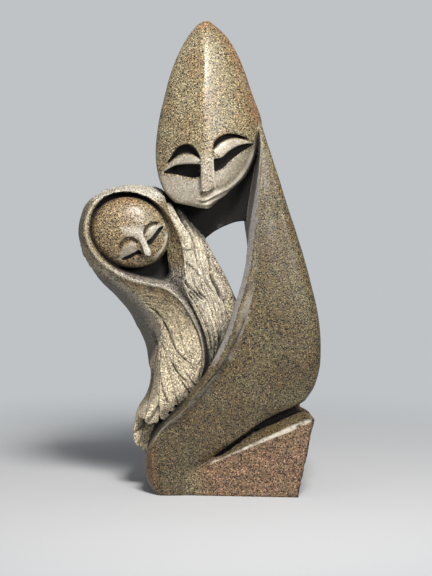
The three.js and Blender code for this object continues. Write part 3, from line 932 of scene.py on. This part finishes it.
gouged = hair * hairGroove + fan * (inSpread * spreadGroove + (1 - inSpread) * besideGroove)

# rough hood, back and knob: short picked facets
lift, tilt, gap = chiselMarks(x + 0.4 * y + warp, z + 0.6 * y, 7, 9, 71)
pickedRelief = 1.3 * (lift - 0.5) + 0.8 * tilt - 0.5 * ease(0.2, 0, gap) + 0.5 * cloud(places, 2.6, 5, 2)

# broken face of the foot
onWedge = np.clip(on["wedge"] + on["core"], 0, 1)
brokenEdge = 4 * cloud(places, 9, 8)
broken = onWedge * ease(-8, 10, x + brokenEdge - 0.1 * z)
facetPlane = (places - np.array(tip)) @ np.array(facetNormal)
topFacet = on["wedge"] * ease(-1.6, -0.5, facetPlane) * ease(14, 24, x)
broken = broken * (1 - topFacet)
lift, tilt, gap = chiselMarks(x + 3 * cloud(places, 12, 9), z + 0.8 * y, 9, 6, 81)
brokenRelief = 1.3 * cloud(places, 7, 13, 3) + 0.9 * (lift - 0.5) - 0.6 * np.clip(cloud(places, 2.4, 17, 2) - 0.25, 0, 1) * 2
gapBevel = besideLine([tip.xz, brow.xz], x, z)[0]
bevelWidth = 0.5 + 1.3 * ease(20, 90, x) + 0.9 * cloud(places, 9, 37, 2)
bevel = on["wedge"] * ease(bevelWidth + 0.5, bevelWidth - 0.5, np.abs(gapBevel + 0.9)) * ease(-38, -41, y)
bevel = bevel * ease(8, 14, x) * ease(-0.75, -0.1, cloud(places, 4, 61) + 0.3 * ease(30, 10, x))

crackMarks = np.maximum.reduce([lineMark(route, 1.25, x, z) for route in tools["cracks"]])
lipMarks = np.maximum.reduce([lineMark(route, 1.5, x, z, 0.7) for route in tools["lips"]]) * on["head"] * ease(-20, -30, y)
lipGap = lineMark(tools["lipGap"], 1.2, x, z) * on["head"] * ease(-20, -30, y)
smallLipGap = lineMark(tools["smallLipGap"], 1.1, x, z) * on["smallHead"]
smallJawMark = lineMark(tools["smallJaw"], 1.5, x, z, 0.7) * on["smallHead"]
jawMark = lineMark(tools["jawRim"], 2.2, x, z, 0.7) * on["head"] * ease(-5, -12, y)
pitMark = lineMark(tools["pit"], 2.3, x, z, 0.6) * onShawl * inFront

polished = np.clip(1 - hair - fan - hood - behind - knob - broken, 0, 1)
depth = hair * hairRelief + fan * fanRelief
depth += np.clip(hood + 0.8 * behind + knob, 0, 1) * (1 - hair) * (1 - fan) * (pickedRelief - 0.3)
depth += 0.5 * sideBand * (1 - knob) * cloud(places, 9, 23, 2)
depth += broken * (1 - bevel) * (brokenRelief - 0.5) + bevel * (1.2 * cloud(places, 4, 27, 2) - 1.4)
depth -= tools["crackDepth"] * crackMarks * onShawl * inFront
depth += 1.1 * lipMarks - 1.2 * lipGap - 0.9 * smallLipGap + 1.1 * jawMark + 0.7 * smallJawMark - 3.4 * pitMark
depth += 0.28 * polished * cloud(places, 22, 29, 2) + 0.05 * polished * cloud(places, 4, 33)
depth *= ease(-0.2, 2.5, z)
places = places + normals * depth[:, None]
places[:, 2] = np.maximum(places[:, 2], 0)
low, high = np.array(cadBox) / metre
places = np.clip(places, low, high)
placeVertices(stone, places)
applyModifier(stone, "SMOOTH", factor=0.35, iterations=1)
places, normals = coordinatesOf(stone), normalsOf(stone)
print("tool marks cut")


# how sheltered and how sharp each place is; the shelter is later painted in as shade

shade = {"rays": 16, "reach": 26, "lift": 0.6, "every": 1}


def shelterOf(spots, directions):
    # share of the sky over each place that other stone hides
    tree = BVHTree.FromObject(stone, bpy.context.evaluated_depsgraph_get())
    rays = []
    for k in range(shade["rays"]):
        height = 1 - (k + 0.5) / shade["rays"]
        turn = k * 2.399963
        side = math.sqrt(1 - height * height)
        rays.append(Vector((side * math.cos(turn), side * math.sin(turn), height)))
    hidden = np.zeros(len(spots))
    for k, (spot, direction) in enumerate(zip(spots, directions)):
        normal = Vector(direction)
        start = Vector(spot) + normal * shade["lift"]
        turned = normal.to_track_quat("Z", "Y")
        hits = 0
        for ray in rays:
            hits += tree.ray_cast(start, turned @ ray, shade["reach"])[0] is not None
        hidden[k] = hits / shade["rays"]
    return hidden


# masks that the stone's material reads

def sharpnessOf():
    # + on ridges and edges, - in creases, from where the neighbours of each place lie
    meanNear = np.stack([
        (np.bincount(edges[:, 0], column[edges[:, 1]], count) + np.bincount(edges[:, 1], column[edges[:, 0]], count)) / degree
        for column in places.T
    ], 1)
    return spreadOut(np.sum((places - meanNear) * normals, axis=1) / skin["voxel"], 3)


def storeMask(name, values):
    layer = stone.data.attributes.new(name, "FLOAT", "POINT")
    layer.data.foreach_set("value", np.ascontiguousarray(values, float))


def betweenLines(upper, lower, x, z):
    # 1 between two lines that share their ends' heights, both listed the same way
    way = math.copysign(1, lower[-1][0] - lower[0][0])
    overTop, alongTop, topLength = besideLine(smoothLine(upper, 24), x, z)
    overBottom, alongBottom, bottomLength = besideLine(smoothLine(lower, 24), x, z)
    held = (alongTop < topLength) & (alongBottom < bottomLength) & (alongBottom > 0)
    return ease(-0.2, -1.3, way * overTop) * ease(0, 0.9, way * overBottom) * held


def nearLine(route, width, x, z):
    return ease(width, 0.3 * width, np.abs(besideLine(route, x, z)[0]))


sharp = sharpnessOf()
x, y, z = places.T
strokeAcross = np.where(hair > 0.3, hairAcross, np.where(inSpread > 0.5, fanAcross, gapRim))
strokeAlong = np.where(hair > 0.3, hairAlong, np.where(inSpread > 0.5, fanReach, rimAlong))
ochre = np.maximum(lineMark(tools["chipStrip"], 3, x, z, 0.5), 0.6 * lineMark(tools["ochreLine"], 2.2, x, z)) * onShawl
ochre = ochre * ease(-0.4, 0.2, cloud(places, 3, 47))
rightOfHead = on["head"] * ease(-15, 4, x - tallHead["right"](np.clip(z, 258, 429))) * ease(318, 345, z)
rust = np.maximum.reduce([
    rightOfHead * ease(-0.5, 0.5, cloud(places, 16, 41, 2) + 0.25),
    0.55 * on["head"] * ease(417, 424, z),
    0.9 * broken,
    on["body"] * ease(-30, -44, x + 0.12 * z) * ease(62, 40, z),
    0.35 * fan * ease(14, 4, -gapRim) * ease(150, 180, z),
    0.5 * on["body"] * ease(110, 10, z) * ease(-0.2, 0.6, cloud(places, 26, 43, 2)),
    0.5 * fan * ease(120, 104, z + 0.9 * x + 12) * ease(-10, 6, x),
    0.3 * hood * ease(0, 0.6, cloud(places, 12, 45, 2)),
    0.25 * on["smallHead"] * ease(-45, -60, x),
])
baseFacet = on["body"] * ease(0.5, -1.5, x - tallBody["arris"](np.clip(z, 0, 350))) * ease(46, 36, z)
rust = np.maximum(rust, 0.9 * baseFacet)
innerFacet = on["body"] * ease(-0.45, -0.75, normals[:, 0]) * ease(112, 128, z)
matte = np.maximum.reduce([innerFacet, 0.75 * sideBand * (1 - knob), 0.7 * fluteWall, on["neck"], 0.6 * behind])

tallEyes, smallEyes = tallFace["eyes"], smallFace["eyes"]
# painted shade: between the lid edges and slits, in the brow crescents, on the neck under the jaw, under the hem and in
# the recess round the small face
faceFront = on["head"] * ease(-14, -28, y)
underLids = [
    faceFront * betweenLines(eye["lidEdge"], eye["slit"], x, z) for eye in tallEyes
] + [faceFront * betweenLines(eye["brow"], eye["lidTop"], x, z) for eye in tallEyes] + [
    on["smallHead"] * betweenLines(eye["lidEdge"], eye["slit"], x, z) for eye in smallEyes
]
inRecess = onShawl * ease(-1, 1, gapMouth) * ease(-40, -30, y)
inRecess = inRecess * (1 - ease(-34, -29, x) * ease(203, 212, z))
underHem = np.maximum(onShawl * inFront * ease(-20, -15, y), on["body"] * ease(-0.3, -0.6, normals[:, 0]) * ease(122, 108, z))
underHem = underHem * ease(118, 104, z - 0.9 * np.maximum(0, x)) * ease(-57, -51, x)
paintedShadeAreas = np.maximum.reduce([*underLids, 1.2 * on["neck"], 0.7 * underHem, inRecess])
cheeks = faceFront * np.maximum(
    ease(-0.5, -2, besideLine(smoothLine(tallEyes[0]["slit"], 24), x, z)[0]) * ease(2.6, 1.2, x),
    ease(0.5, 2, besideLine(smoothLine(tallEyes[1]["slit"], 24), x, z)[0]) * ease(12.5, 14.5, x))
chin = on["head"] * ease(272, 269, z) * ease(-20, -30, y)
cheeks = np.maximum(cheeks, 0.8 * chin)
arrisLine = [(float(tallBody["arris"](h)), h) for h in range(322, 0, -6)]
# pale worn edges, partly a painted highlight: ridges, the arris, the wedge's bevel, the rim, the nose's right edge, the
# lid edges, the lips and the jaw rims
wearAndHighlight = np.maximum.reduce([
    0.8 * ease(0.1, 0.4, sharp) * (1 - 0.6 * hair),
    on["body"] * nearLine(arrisLine, 1.1, x, z) * ease(-20, -30, y) * (0.65 - 0.5 * ease(165, 200, z)),
    bevel,
    0.35 * onShawl * nearLine(rimLine, 1.2, x, z) * ease(-30, -36, y),
    faceFront * nearLine([(12.6, 303), (13.2, 288), (14.4, 277)], 1.1, x, z),
    0.9 * jawMark, 0.8 * lipMarks, 0.8 * smallJawMark,
])
lids = np.zeros(count)
for eye, owner in [(eye, faceFront) for eye in tallEyes] + [(eye, on["smallHead"]) for eye in smallEyes]:
    wearAndHighlight = np.maximum(wearAndHighlight, 0.8 * owner * nearLine(smoothLine(eye["lidEdge"], 24), 1.1, x, z))
    lids = np.maximum(lids, owner * betweenLines(eye["lidTop"], eye["lidEdge"], x, z))
# painted highlight: the small nose's flat front is painted paler and with calmer grains
noseBridge = on["smallHead"] * ease(1.2, 0.2, y - noseFront(x, z)) * ease(246, 240, z)
nose = faceFront * ease(0.6, 2, x) * ease(13.4, 12, x) * ease(312, 296, z) * ease(272, 275, z)
fromRight = x - tallHead["right"](np.clip(z, 258.5, 426.5))
keelSide = ease(-2, 8, x - tallHead["keel"](np.clip(z, 258.5, 426.5)))
footRight = 89.5 + 0.195 * z + 0.8 * cloud(places, 5, 63)
# painted light and shade: a brightness for each region that the colour is multiplied by
paintedLightTones = {
    # body darker towards the bottom and at the lower right, its inner facet painted lighter
    "body": alongHeight([(0, 0.47), (75, 0.56), (150, 0.68), (250, 0.7), (350, 0.8)])(z) * (
        1 - 0.15 * ease(40, 90, x) * ease(220, 120, z)) + 1.1 * innerFacet,
    # head darker right of the keel, at its right edge, on the cheeks and on the left lid
    "head": 1.68 - 0.4 * keelSide - 0.3 * ease(-24, 2, fromRight) - 0.3 * cheeks - 0.3 * lids * ease(10, 0, x),
    # small head darker on the lids
    "smallHead": 1.22 - 0.25 * lids,
    # shawl darker on the upper fan, on the side band and under the hem
    "shawl": 1.2 - 0.5 * fan * ease(130, 165, z) - 0.42 * sideBand - 0.4 * underHem,
    # wedge darker on its top facet, with painted shade along its right edge and a painted contact shadow along its
    # bottom
    "wedge": (0.86 - 0.3 * topFacet) * (1 - 0.6 * ease(-3, -1.6, x - footRight)) * (1 - 0.45 * ease(2.6, 1, z)),
}
tone = np.ones(count)
for name, values in paintedLightTones.items():
    tone = tone + on[name] * (values - tone)
calm = np.maximum.reduce([
    0.75 * cheeks, 0.75 * lids, 0.5 * hair, 0.35 * fan, 0.8 * innerFacet, 0.6 * sideBand, 0.4 * hood,
    0.7 * noseBridge, 0.4 * nose,
])
tooled = np.clip(hair + fan + hood + knob + 0.8 * behind, 0, 1)
masks = {
    "tooled": tooled,
    "pale": np.maximum.reduce([
        hair, fan * ease(178, 150, z + 0.35 * x), 0.9 * crown, 0.4 * cheeks, 0.55 * hood, 0.5 * knob,
        0.45 * lids, 0.6 * noseBridge, 0.3 * nose, 0.45 * band,
    ]),
    "calm": calm,
    "creamy": np.maximum.reduce([0.9 * fan, 0.4 * hair + 0.3 * hair * ease(180, 140, z), 0.7 * hood * (1 - crown)]),
    "rust": rust,
    "matte": matte,
    "broken": np.clip(broken + bevel, 0, 1),
    "ochre": ochre,
    "wearAndHighlight": wearAndHighlight * (1 - paintedShadeAreas),
    "gouged": np.maximum(np.clip(gouged, 0, 1), onShawl * inFront * crackMarks),
    "tone": tone,
    # painted shade: the listed places and creases get more of it, the inner facet, the lids and the place by the knob
    # get less
    "paintedShadeBias": 0.5 * paintedShadeAreas - 0.6 * innerFacet - 0.3 * lids - 0.45 * onShawl * ease(-38, -44, x) * ease(72, 66, z) + 0.2 * ease(-0.05, -0.3, sharp) * (1 - hair),
    "strokeAcross": strokeAcross,
    "strokeAlong": strokeAlong,
}
for name, values in masks.items():
    storeMask(name, values)
print("masks stored")


def dropSpecks(piece):
    # the voxel grid leaves a few specks that hang on nothing, so only what joins the top is kept
    choose(piece)
    bpy.ops.object.mode_set(mode="EDIT")
    bpy.ops.mesh.select_mode(type="VERT")
    bpy.ops.mesh.select_all(action="DESELECT")
    bpy.ops.object.mode_set(mode="OBJECT")
    piece.data.vertices[int(coordinatesOf(piece)[:, 2].argmax())].select = True
    bpy.ops.object.mode_set(mode="EDIT")
    bpy.ops.mesh.select_linked()
    bpy.ops.mesh.select_all(action="INVERT")
    bpy.ops.mesh.delete(type="VERT")
    bpy.ops.object.mode_set(mode="OBJECT")


triangles = sum(len(polygon.vertices) - 2 for polygon in stone.data.polygons)
if triangles > skin["budget"]:
    applyModifier(stone, "DECIMATE", ratio=skin["budget"] / triangles)
thinnedFaces = len(stone.data.polygons)
dropSpecks(stone)
print("thinned:", thinnedFaces, "faces, of which specks:", thinnedFaces - len(stone.data.polygons))
shelter = shelterOf(coordinatesOf(stone), normalsOf(stone))
bias = np.empty(len(shelter))
stone.data.attributes["paintedShadeBias"].data.foreach_get("value", bias)
# painted shade: the more of the sky other stone hides over a place, the nearer to black its colour is painted
storeMask("paintedShade", ease(0.3, 0.85, shelter + bias))
print("shelter found")
placeVertices(stone, coordinatesOf(stone) * metre)
choose(stone)
bpy.ops.object.shade_smooth()


# the stone

def addNode(tree, kind, settings=None, inputs=None):
    node = tree.nodes.new("ShaderNode" + kind)
    for key, value in (settings or {}).items():
        setattr(node, key, value)
    for key, value in (inputs or {}).items():
        if isinstance(value, bpy.types.NodeSocket):
            tree.links.new(value, node.inputs[key])
        else:
            node.inputs[key].default_value = value
    return node


def maths(tree, operation, a, b=0.0, c=None, clamp=False):
    values = {0: a, 1: b} if c is None else {0: a, 1: b, 2: c}
    return addNode(tree, "Math", {"operation": operation, "use_clamp": clamp}, values).outputs[0]


def blend(tree, share, a, b, kind="MIX"):
    # colours a and b mixed, b by its share
    node = addNode(tree, "Mix", {"data_type": "RGBA", "blend_type": kind, "clamp_factor": True})
    for key, value in ((0, share), (6, a), (7, b)):
        if isinstance(value, bpy.types.NodeSocket):
            tree.links.new(value, node.inputs[key])
        else:
            node.inputs[key].default_value = value if key == 0 else (*value, 1)
    return node.outputs[2]


def ramp(tree, value, stops, smooth=False):
    # stops are (place, grey or colour)
    node = addNode(tree, "ValToRGB", inputs={0: value})
    node.color_ramp.interpolation = "EASE" if smooth else "LINEAR"
    band = node.color_ramp.elements
    while len(band) < len(stops):
        band.new(0.5)
    for element, (place, tone) in zip(band, stops):
        element.position = place
        element.color = (*tone, 1) if isinstance(tone, tuple) else (tone, tone, tone, 1)
    return node.outputs[0]


def newGroup(name, takes, gives):
    group = bpy.data.node_groups.new(name, "ShaderNodeTree")
    for label, kind, default in takes:
        socket = group.interface.new_socket(label, in_out="INPUT", socket_type=kind)
        if default is not None:
            socket.default_value = default
    for label, kind in gives:
        group.interface.new_socket(label, in_out="OUTPUT", socket_type=kind)
    return group, group.nodes.new("NodeGroupInput"), group.nodes.new("NodeGroupOutput")


def speckleGroup():
    # dark and light grains of uneven size, scattered over a middling ground
    group, taken, given = newGroup(
        "stoneSpeckle",
        [("Place", "NodeSocketVector", None), ("Grain", "NodeSocketFloat", 1.4), ("Contrast", "NodeSocketFloat", 1.0)],
        [("Tone", "NodeSocketFloat"), ("Height", "NodeSocketFloat")],
    )

    def grains(closer, widest, spread):
        scale = maths(group, "DIVIDE", closer, taken.outputs["Grain"])
        cells = addNode(group, "TexVoronoi", {"feature": "F1"}, {"Vector": taken.outputs["Place"], "Scale": scale})
        chance = addNode(group, "SeparateColor", inputs={0: cells.outputs["Color"]}).outputs[0]
        reach = maths(group, "MULTIPLY_ADD", chance, -spread, widest)
        return maths(group, "MULTIPLY", maths(group, "SUBTRACT", reach, cells.outputs["Distance"]), 6.0, clamp=True)

    dark = grains(1.0, 0.66, 0.42)
    light = maths(group, "MULTIPLY", grains(1.2, 0.62, 0.6), maths(group, "SUBTRACT", 1.0, dark))
    shift = maths(group, "MULTIPLY", maths(group, "SUBTRACT", light, dark), taken.outputs["Contrast"])
    group.links.new(maths(group, "MULTIPLY_ADD", shift, 0.5, 0.5), given.inputs["Tone"])
    group.links.new(maths(group, "SUBTRACT", light, dark), given.inputs["Height"])
    return group


def strokeGroup():
    # fine lines that follow the tool, from the distances across and along each stroke
    group, taken, given = newGroup(
        "toolStrokes",
        [("Across", "NodeSocketFloat", None), ("Along", "NodeSocketFloat", None), ("Spacing", "NodeSocketFloat", 1.0)],
        [("Lines", "NodeSocketFloat"), ("Chatter", "NodeSocketFloat")],
    )
    across = maths(group, "DIVIDE", taken.outputs["Across"], taken.outputs["Spacing"])
    along = maths(group, "MULTIPLY", taken.outputs["Along"], 0.09)
    place = addNode(group, "CombineXYZ", inputs={0: across, 1: along}).outputs[0]
    lines = addNode(group, "TexNoise", inputs={"Vector": place, "Scale": 1.0, "Detail": 3.0, "Roughness": 0.6})
    group.links.new(ramp(group, lines.outputs[0], [(0.32, 0.0), (0.68, 1.0)]), given.inputs["Lines"])
    crossing = addNode(group, "CombineXYZ", inputs={
        0: maths(group, "MULTIPLY", across, 0.5), 1: maths(group, "MULTIPLY", taken.outputs["Along"], 0.55), 2: 7.0,
    }).outputs[0]
    chatter = addNode(group, "TexNoise", inputs={"Vector": crossing, "Scale": 1.0, "Detail": 2.0, "Roughness": 0.55})
    group.links.new(ramp(group, chatter.outputs[0], [(0.35, 0.0), (0.65, 1.0)]), given.inputs["Chatter"])
    return group


finish = {
    "olive": (0.178, 0.144, 0.08),
    "brown": (0.16, 0.11, 0.054),
    "green": (0.14, 0.13, 0.068),
    "cream": (0.60, 0.50, 0.335),
    "chalk": (0.50, 0.47, 0.395),
    "rust": (0.26, 0.125, 0.050),
    "redBrown": (0.225, 0.130, 0.080),
    "dull": (0.17, 0.158, 0.145),
    "ochre": (0.62, 0.53, 0.28),
    # pale colour of the worn edges and painted highlights
    "wearAndHighlight": (0.62, 0.57, 0.48),
    # dark colour of the painted shade in the grooves
    "grooveShade": (0.045, 0.034, 0.022),
    # near black, the colour of the painted shade
    "paintedShadeBlack": (0.006, 0.005, 0.004),
    "grain": 1.45,
    "polishRoughness": 0.36,
    "toolRoughness": 0.82,
    "dullRoughness": 0.58,
}


def serpentine():
    material = bpy.data.materials.new("speckledSerpentine")
    material.use_nodes = True
    tree = material.node_tree
    shader = tree.nodes["Principled BSDF"]
    coordinates = addNode(tree, "TexCoord").outputs["Object"]
    place = addNode(tree, "Mapping", {"vector_type": "POINT"}, {"Vector": coordinates, "Scale": (1000, 1000, 1000)}).outputs[0]
    mask = {name: addNode(tree, "Attribute", {"attribute_name": name}).outputs["Fac"] for name in [*masks, "paintedShade"]}

    patches = addNode(tree, "TexNoise", inputs={"Vector": place, "Scale": 0.028, "Detail": 3.0, "Roughness": 0.6}).outputs[0]
    blotches = addNode(tree, "TexNoise", inputs={"Vector": place, "Scale": 0.11, "Detail": 3.0, "Roughness": 0.65}).outputs[0]
    ground = blend(tree, ramp(tree, patches, [(0.38, 0.0), (0.62, 1.0)]), finish["olive"], finish["brown"])
    ground = blend(tree, ramp(tree, blotches, [(0.5, 0.0), (0.72, 0.7)]), ground, finish["green"])
    rusty = maths(tree, "MULTIPLY", mask["rust"], ramp(tree, blotches, [(0.3, 0.45), (0.62, 1.0)]))
    ground = blend(tree, rusty, ground, blend(tree, mask["broken"], finish["rust"], finish["redBrown"]))

    strokes = addNode(tree, "Group", {"node_tree": strokeGroup()}, {
        "Across": mask["strokeAcross"], "Along": mask["strokeAlong"], "Spacing": 1.5})
    chalky = blend(tree, mask["creamy"], finish["chalk"], finish["cream"])
    lineShare = maths(tree, "MULTIPLY", maths(tree, "SUBTRACT", 1.0, strokes.outputs["Lines"]), 0.5)
    bruised = blend(tree, maths(tree, "MULTIPLY", lineShare, mask["tooled"]), chalky, (0.2, 0.165, 0.1))
    pallor = maths(tree, "MULTIPLY", mask["pale"], ramp(tree, maths(tree, "ADD", blotches, maths(
        tree, "MULTIPLY", strokes.outputs["Chatter"], 0.18)), [(0.42, 0.72), (0.66, 1.0)]))
    base = blend(tree, pallor, ground, bruised)
    base = blend(tree, maths(tree, "MULTIPLY", mask["matte"], 0.85), base, finish["dull"])
    base = blend(tree, mask["ochre"], base, finish["ochre"])
    shading = addNode(tree, "CombineColor", inputs={    # painted light and shade from the tone mask: the darker it is the warmer
        0: mask["tone"], 1: maths(tree, "POWER", mask["tone"], 1.05), 2: maths(tree, "POWER", mask["tone"], 1.22)})
    base = blend(tree, 1.0, base, shading.outputs[0], "MULTIPLY")

    speckle = addNode(tree, "Group", {"node_tree": speckleGroup()}, {"Place": place, "Grain": finish["grain"]})
    tree.links.new(maths(tree, "SUBTRACT", 1.1, mask["calm"]), speckle.inputs["Contrast"])
    grains = ramp(tree, speckle.outputs["Tone"], [(0.0, 0.08), (0.5, 1.0), (1.0, 2.7)])
    base = blend(tree, 1.0, base, grains, "MULTIPLY")

    # worn edges and painted highlights, in patches
    wearAndHighlightShare = maths(tree, "MULTIPLY", mask["wearAndHighlight"], ramp(tree, blotches, [(0.3, 0.55), (0.65, 0.95)]))
    base = blend(tree, wearAndHighlightShare, base, finish["wearAndHighlight"])
    # painted shade in the tool grooves; the cracks get the same dark colour
    base = blend(tree, maths(tree, "MULTIPLY", mask["gouged"], 0.8), base, finish["grooveShade"])
    # painted shade: sheltered places are painted towards near black and made rough
    base = blend(tree, mask["paintedShade"], base, finish["paintedShadeBlack"])
    tree.links.new(base, shader.inputs["Base Color"])

    dullness = maths(tree, "MAXIMUM", mask["tooled"], mask["broken"])
    rough = maths(tree, "MULTIPLY_ADD", maths(tree, "SUBTRACT", blotches, 0.5), 0.2, finish["polishRoughness"])
    for share, value in ((mask["matte"], finish["dullRoughness"]), (dullness, finish["toolRoughness"]), (mask["paintedShade"], 0.9)):
        rough = addNode(tree, "Mix", {"data_type": "FLOAT"}, {0: share, 2: rough, 3: value}).outputs[0]
    tree.links.new(rough, shader.inputs["Roughness"])

    grit = addNode(tree, "TexNoise", inputs={"Vector": place, "Scale": 0.9, "Detail": 4.0, "Roughness": 0.7}).outputs[0]
    lineHeight = maths(tree, "MULTIPLY", strokes.outputs["Lines"], mask["tooled"])
    gritHeight = maths(tree, "MULTIPLY", grit, maths(tree, "MULTIPLY_ADD", dullness, 1.0, 0.08))
    grainHeight = maths(tree, "MULTIPLY", speckle.outputs["Height"], 0.16)
    height = maths(tree, "ADD", maths(tree, "ADD", lineHeight, gritHeight), grainHeight)
    bump = addNode(tree, "Bump", inputs={"Strength": 0.9, "Distance": 0.0005, "Height": height})
    tree.links.new(bump.outputs[0], shader.inputs["Normal"])
    shader.inputs["IOR"].default_value = 1.55
    return material


stone.data.materials.clear()
stone.data.materials.append(serpentine())
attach(stone, "root")
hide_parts("carved_couple")
print("stone finished")


# floor, air and lights

studio = {
    "floorSize": 6,
    "fadeStart": 0.16,
    "fadeEnd": 0.6,
    "paper": (0.5, 0.505, 0.52),
    "air": (0.52, 0.545, 0.565),
    "airLight": 0.42,
}
bpy.ops.mesh.primitive_plane_add(size=studio["floorSize"])
floor = bpy.context.object
floor.name = "studioFloor"
paper = bpy.data.materials.new("paleFloor")
paper.use_nodes = True
floorTree = paper.node_tree
floorShader = floorTree.nodes["Principled BSDF"]
floorShader.inputs["Base Color"].default_value = (*studio["paper"], 1)
floorShader.inputs["Roughness"].default_value = 0.95
fromMiddle = addNode(floorTree, "VectorMath", {"operation": "LENGTH"}, {0: addNode(floorTree, "TexCoord").outputs["Object"]})
fade = addNode(floorTree, "MapRange", {"interpolation_type": "SMOOTHSTEP"}, {
    "Value": fromMiddle.outputs["Value"], "From Min": studio["fadeStart"], "From Max": studio["fadeEnd"],
    "To Min": 1.0, "To Max": 0.0})
floorTree.links.new(fade.outputs[0], floorShader.inputs["Alpha"])
floor.data.materials.append(paper)

world = bpy.data.worlds.new("studioAir")
world.use_nodes = True
airTree = world.node_tree
seen = airTree.nodes["Background"]
seen.inputs["Color"].default_value = (*studio["air"], 1)
lit = addNode(airTree, "Background", inputs={"Color": (*studio["air"], 1), "Strength": studio["airLight"]})
either = addNode(airTree, "MixShader", inputs={
    0: addNode(airTree, "LightPath").outputs["Is Camera Ray"], 1: lit.outputs[0], 2: seen.outputs[0]})
airTree.links.new(either.outputs[0], airTree.nodes["World Output"].inputs["Surface"])
bpy.context.scene.world = world


def softLight(name, place, aim, size, power, tint=(1, 1, 1)):
    bpy.ops.object.light_add(type="AREA", location=place)
    lamp = bpy.context.object
    lamp.name = name
    lamp.data.size = size
    lamp.data.energy = power
    lamp.data.color = tint
    lamp.rotation_euler = (Vector(aim) - Vector(place)).to_track_quat("-Z", "Y").to_euler()


softLight("keyLight", (0.24, -0.84, 1.26), (0, 0, 0.22), 0.36, 25, (1, 0.975, 0.94))
softLight("sheenLight", (0.62, -1.2, 0.66), (0, 0, 0.28), 0.34, 9, (1, 0.99, 0.97))
softLight("fillLight", (-1.1, -1.0, 0.5), (0, 0, 0.2), 0.9, 1.5, (0.93, 0.96, 1))

bpy.context.scene.view_settings.view_transform = "Standard"
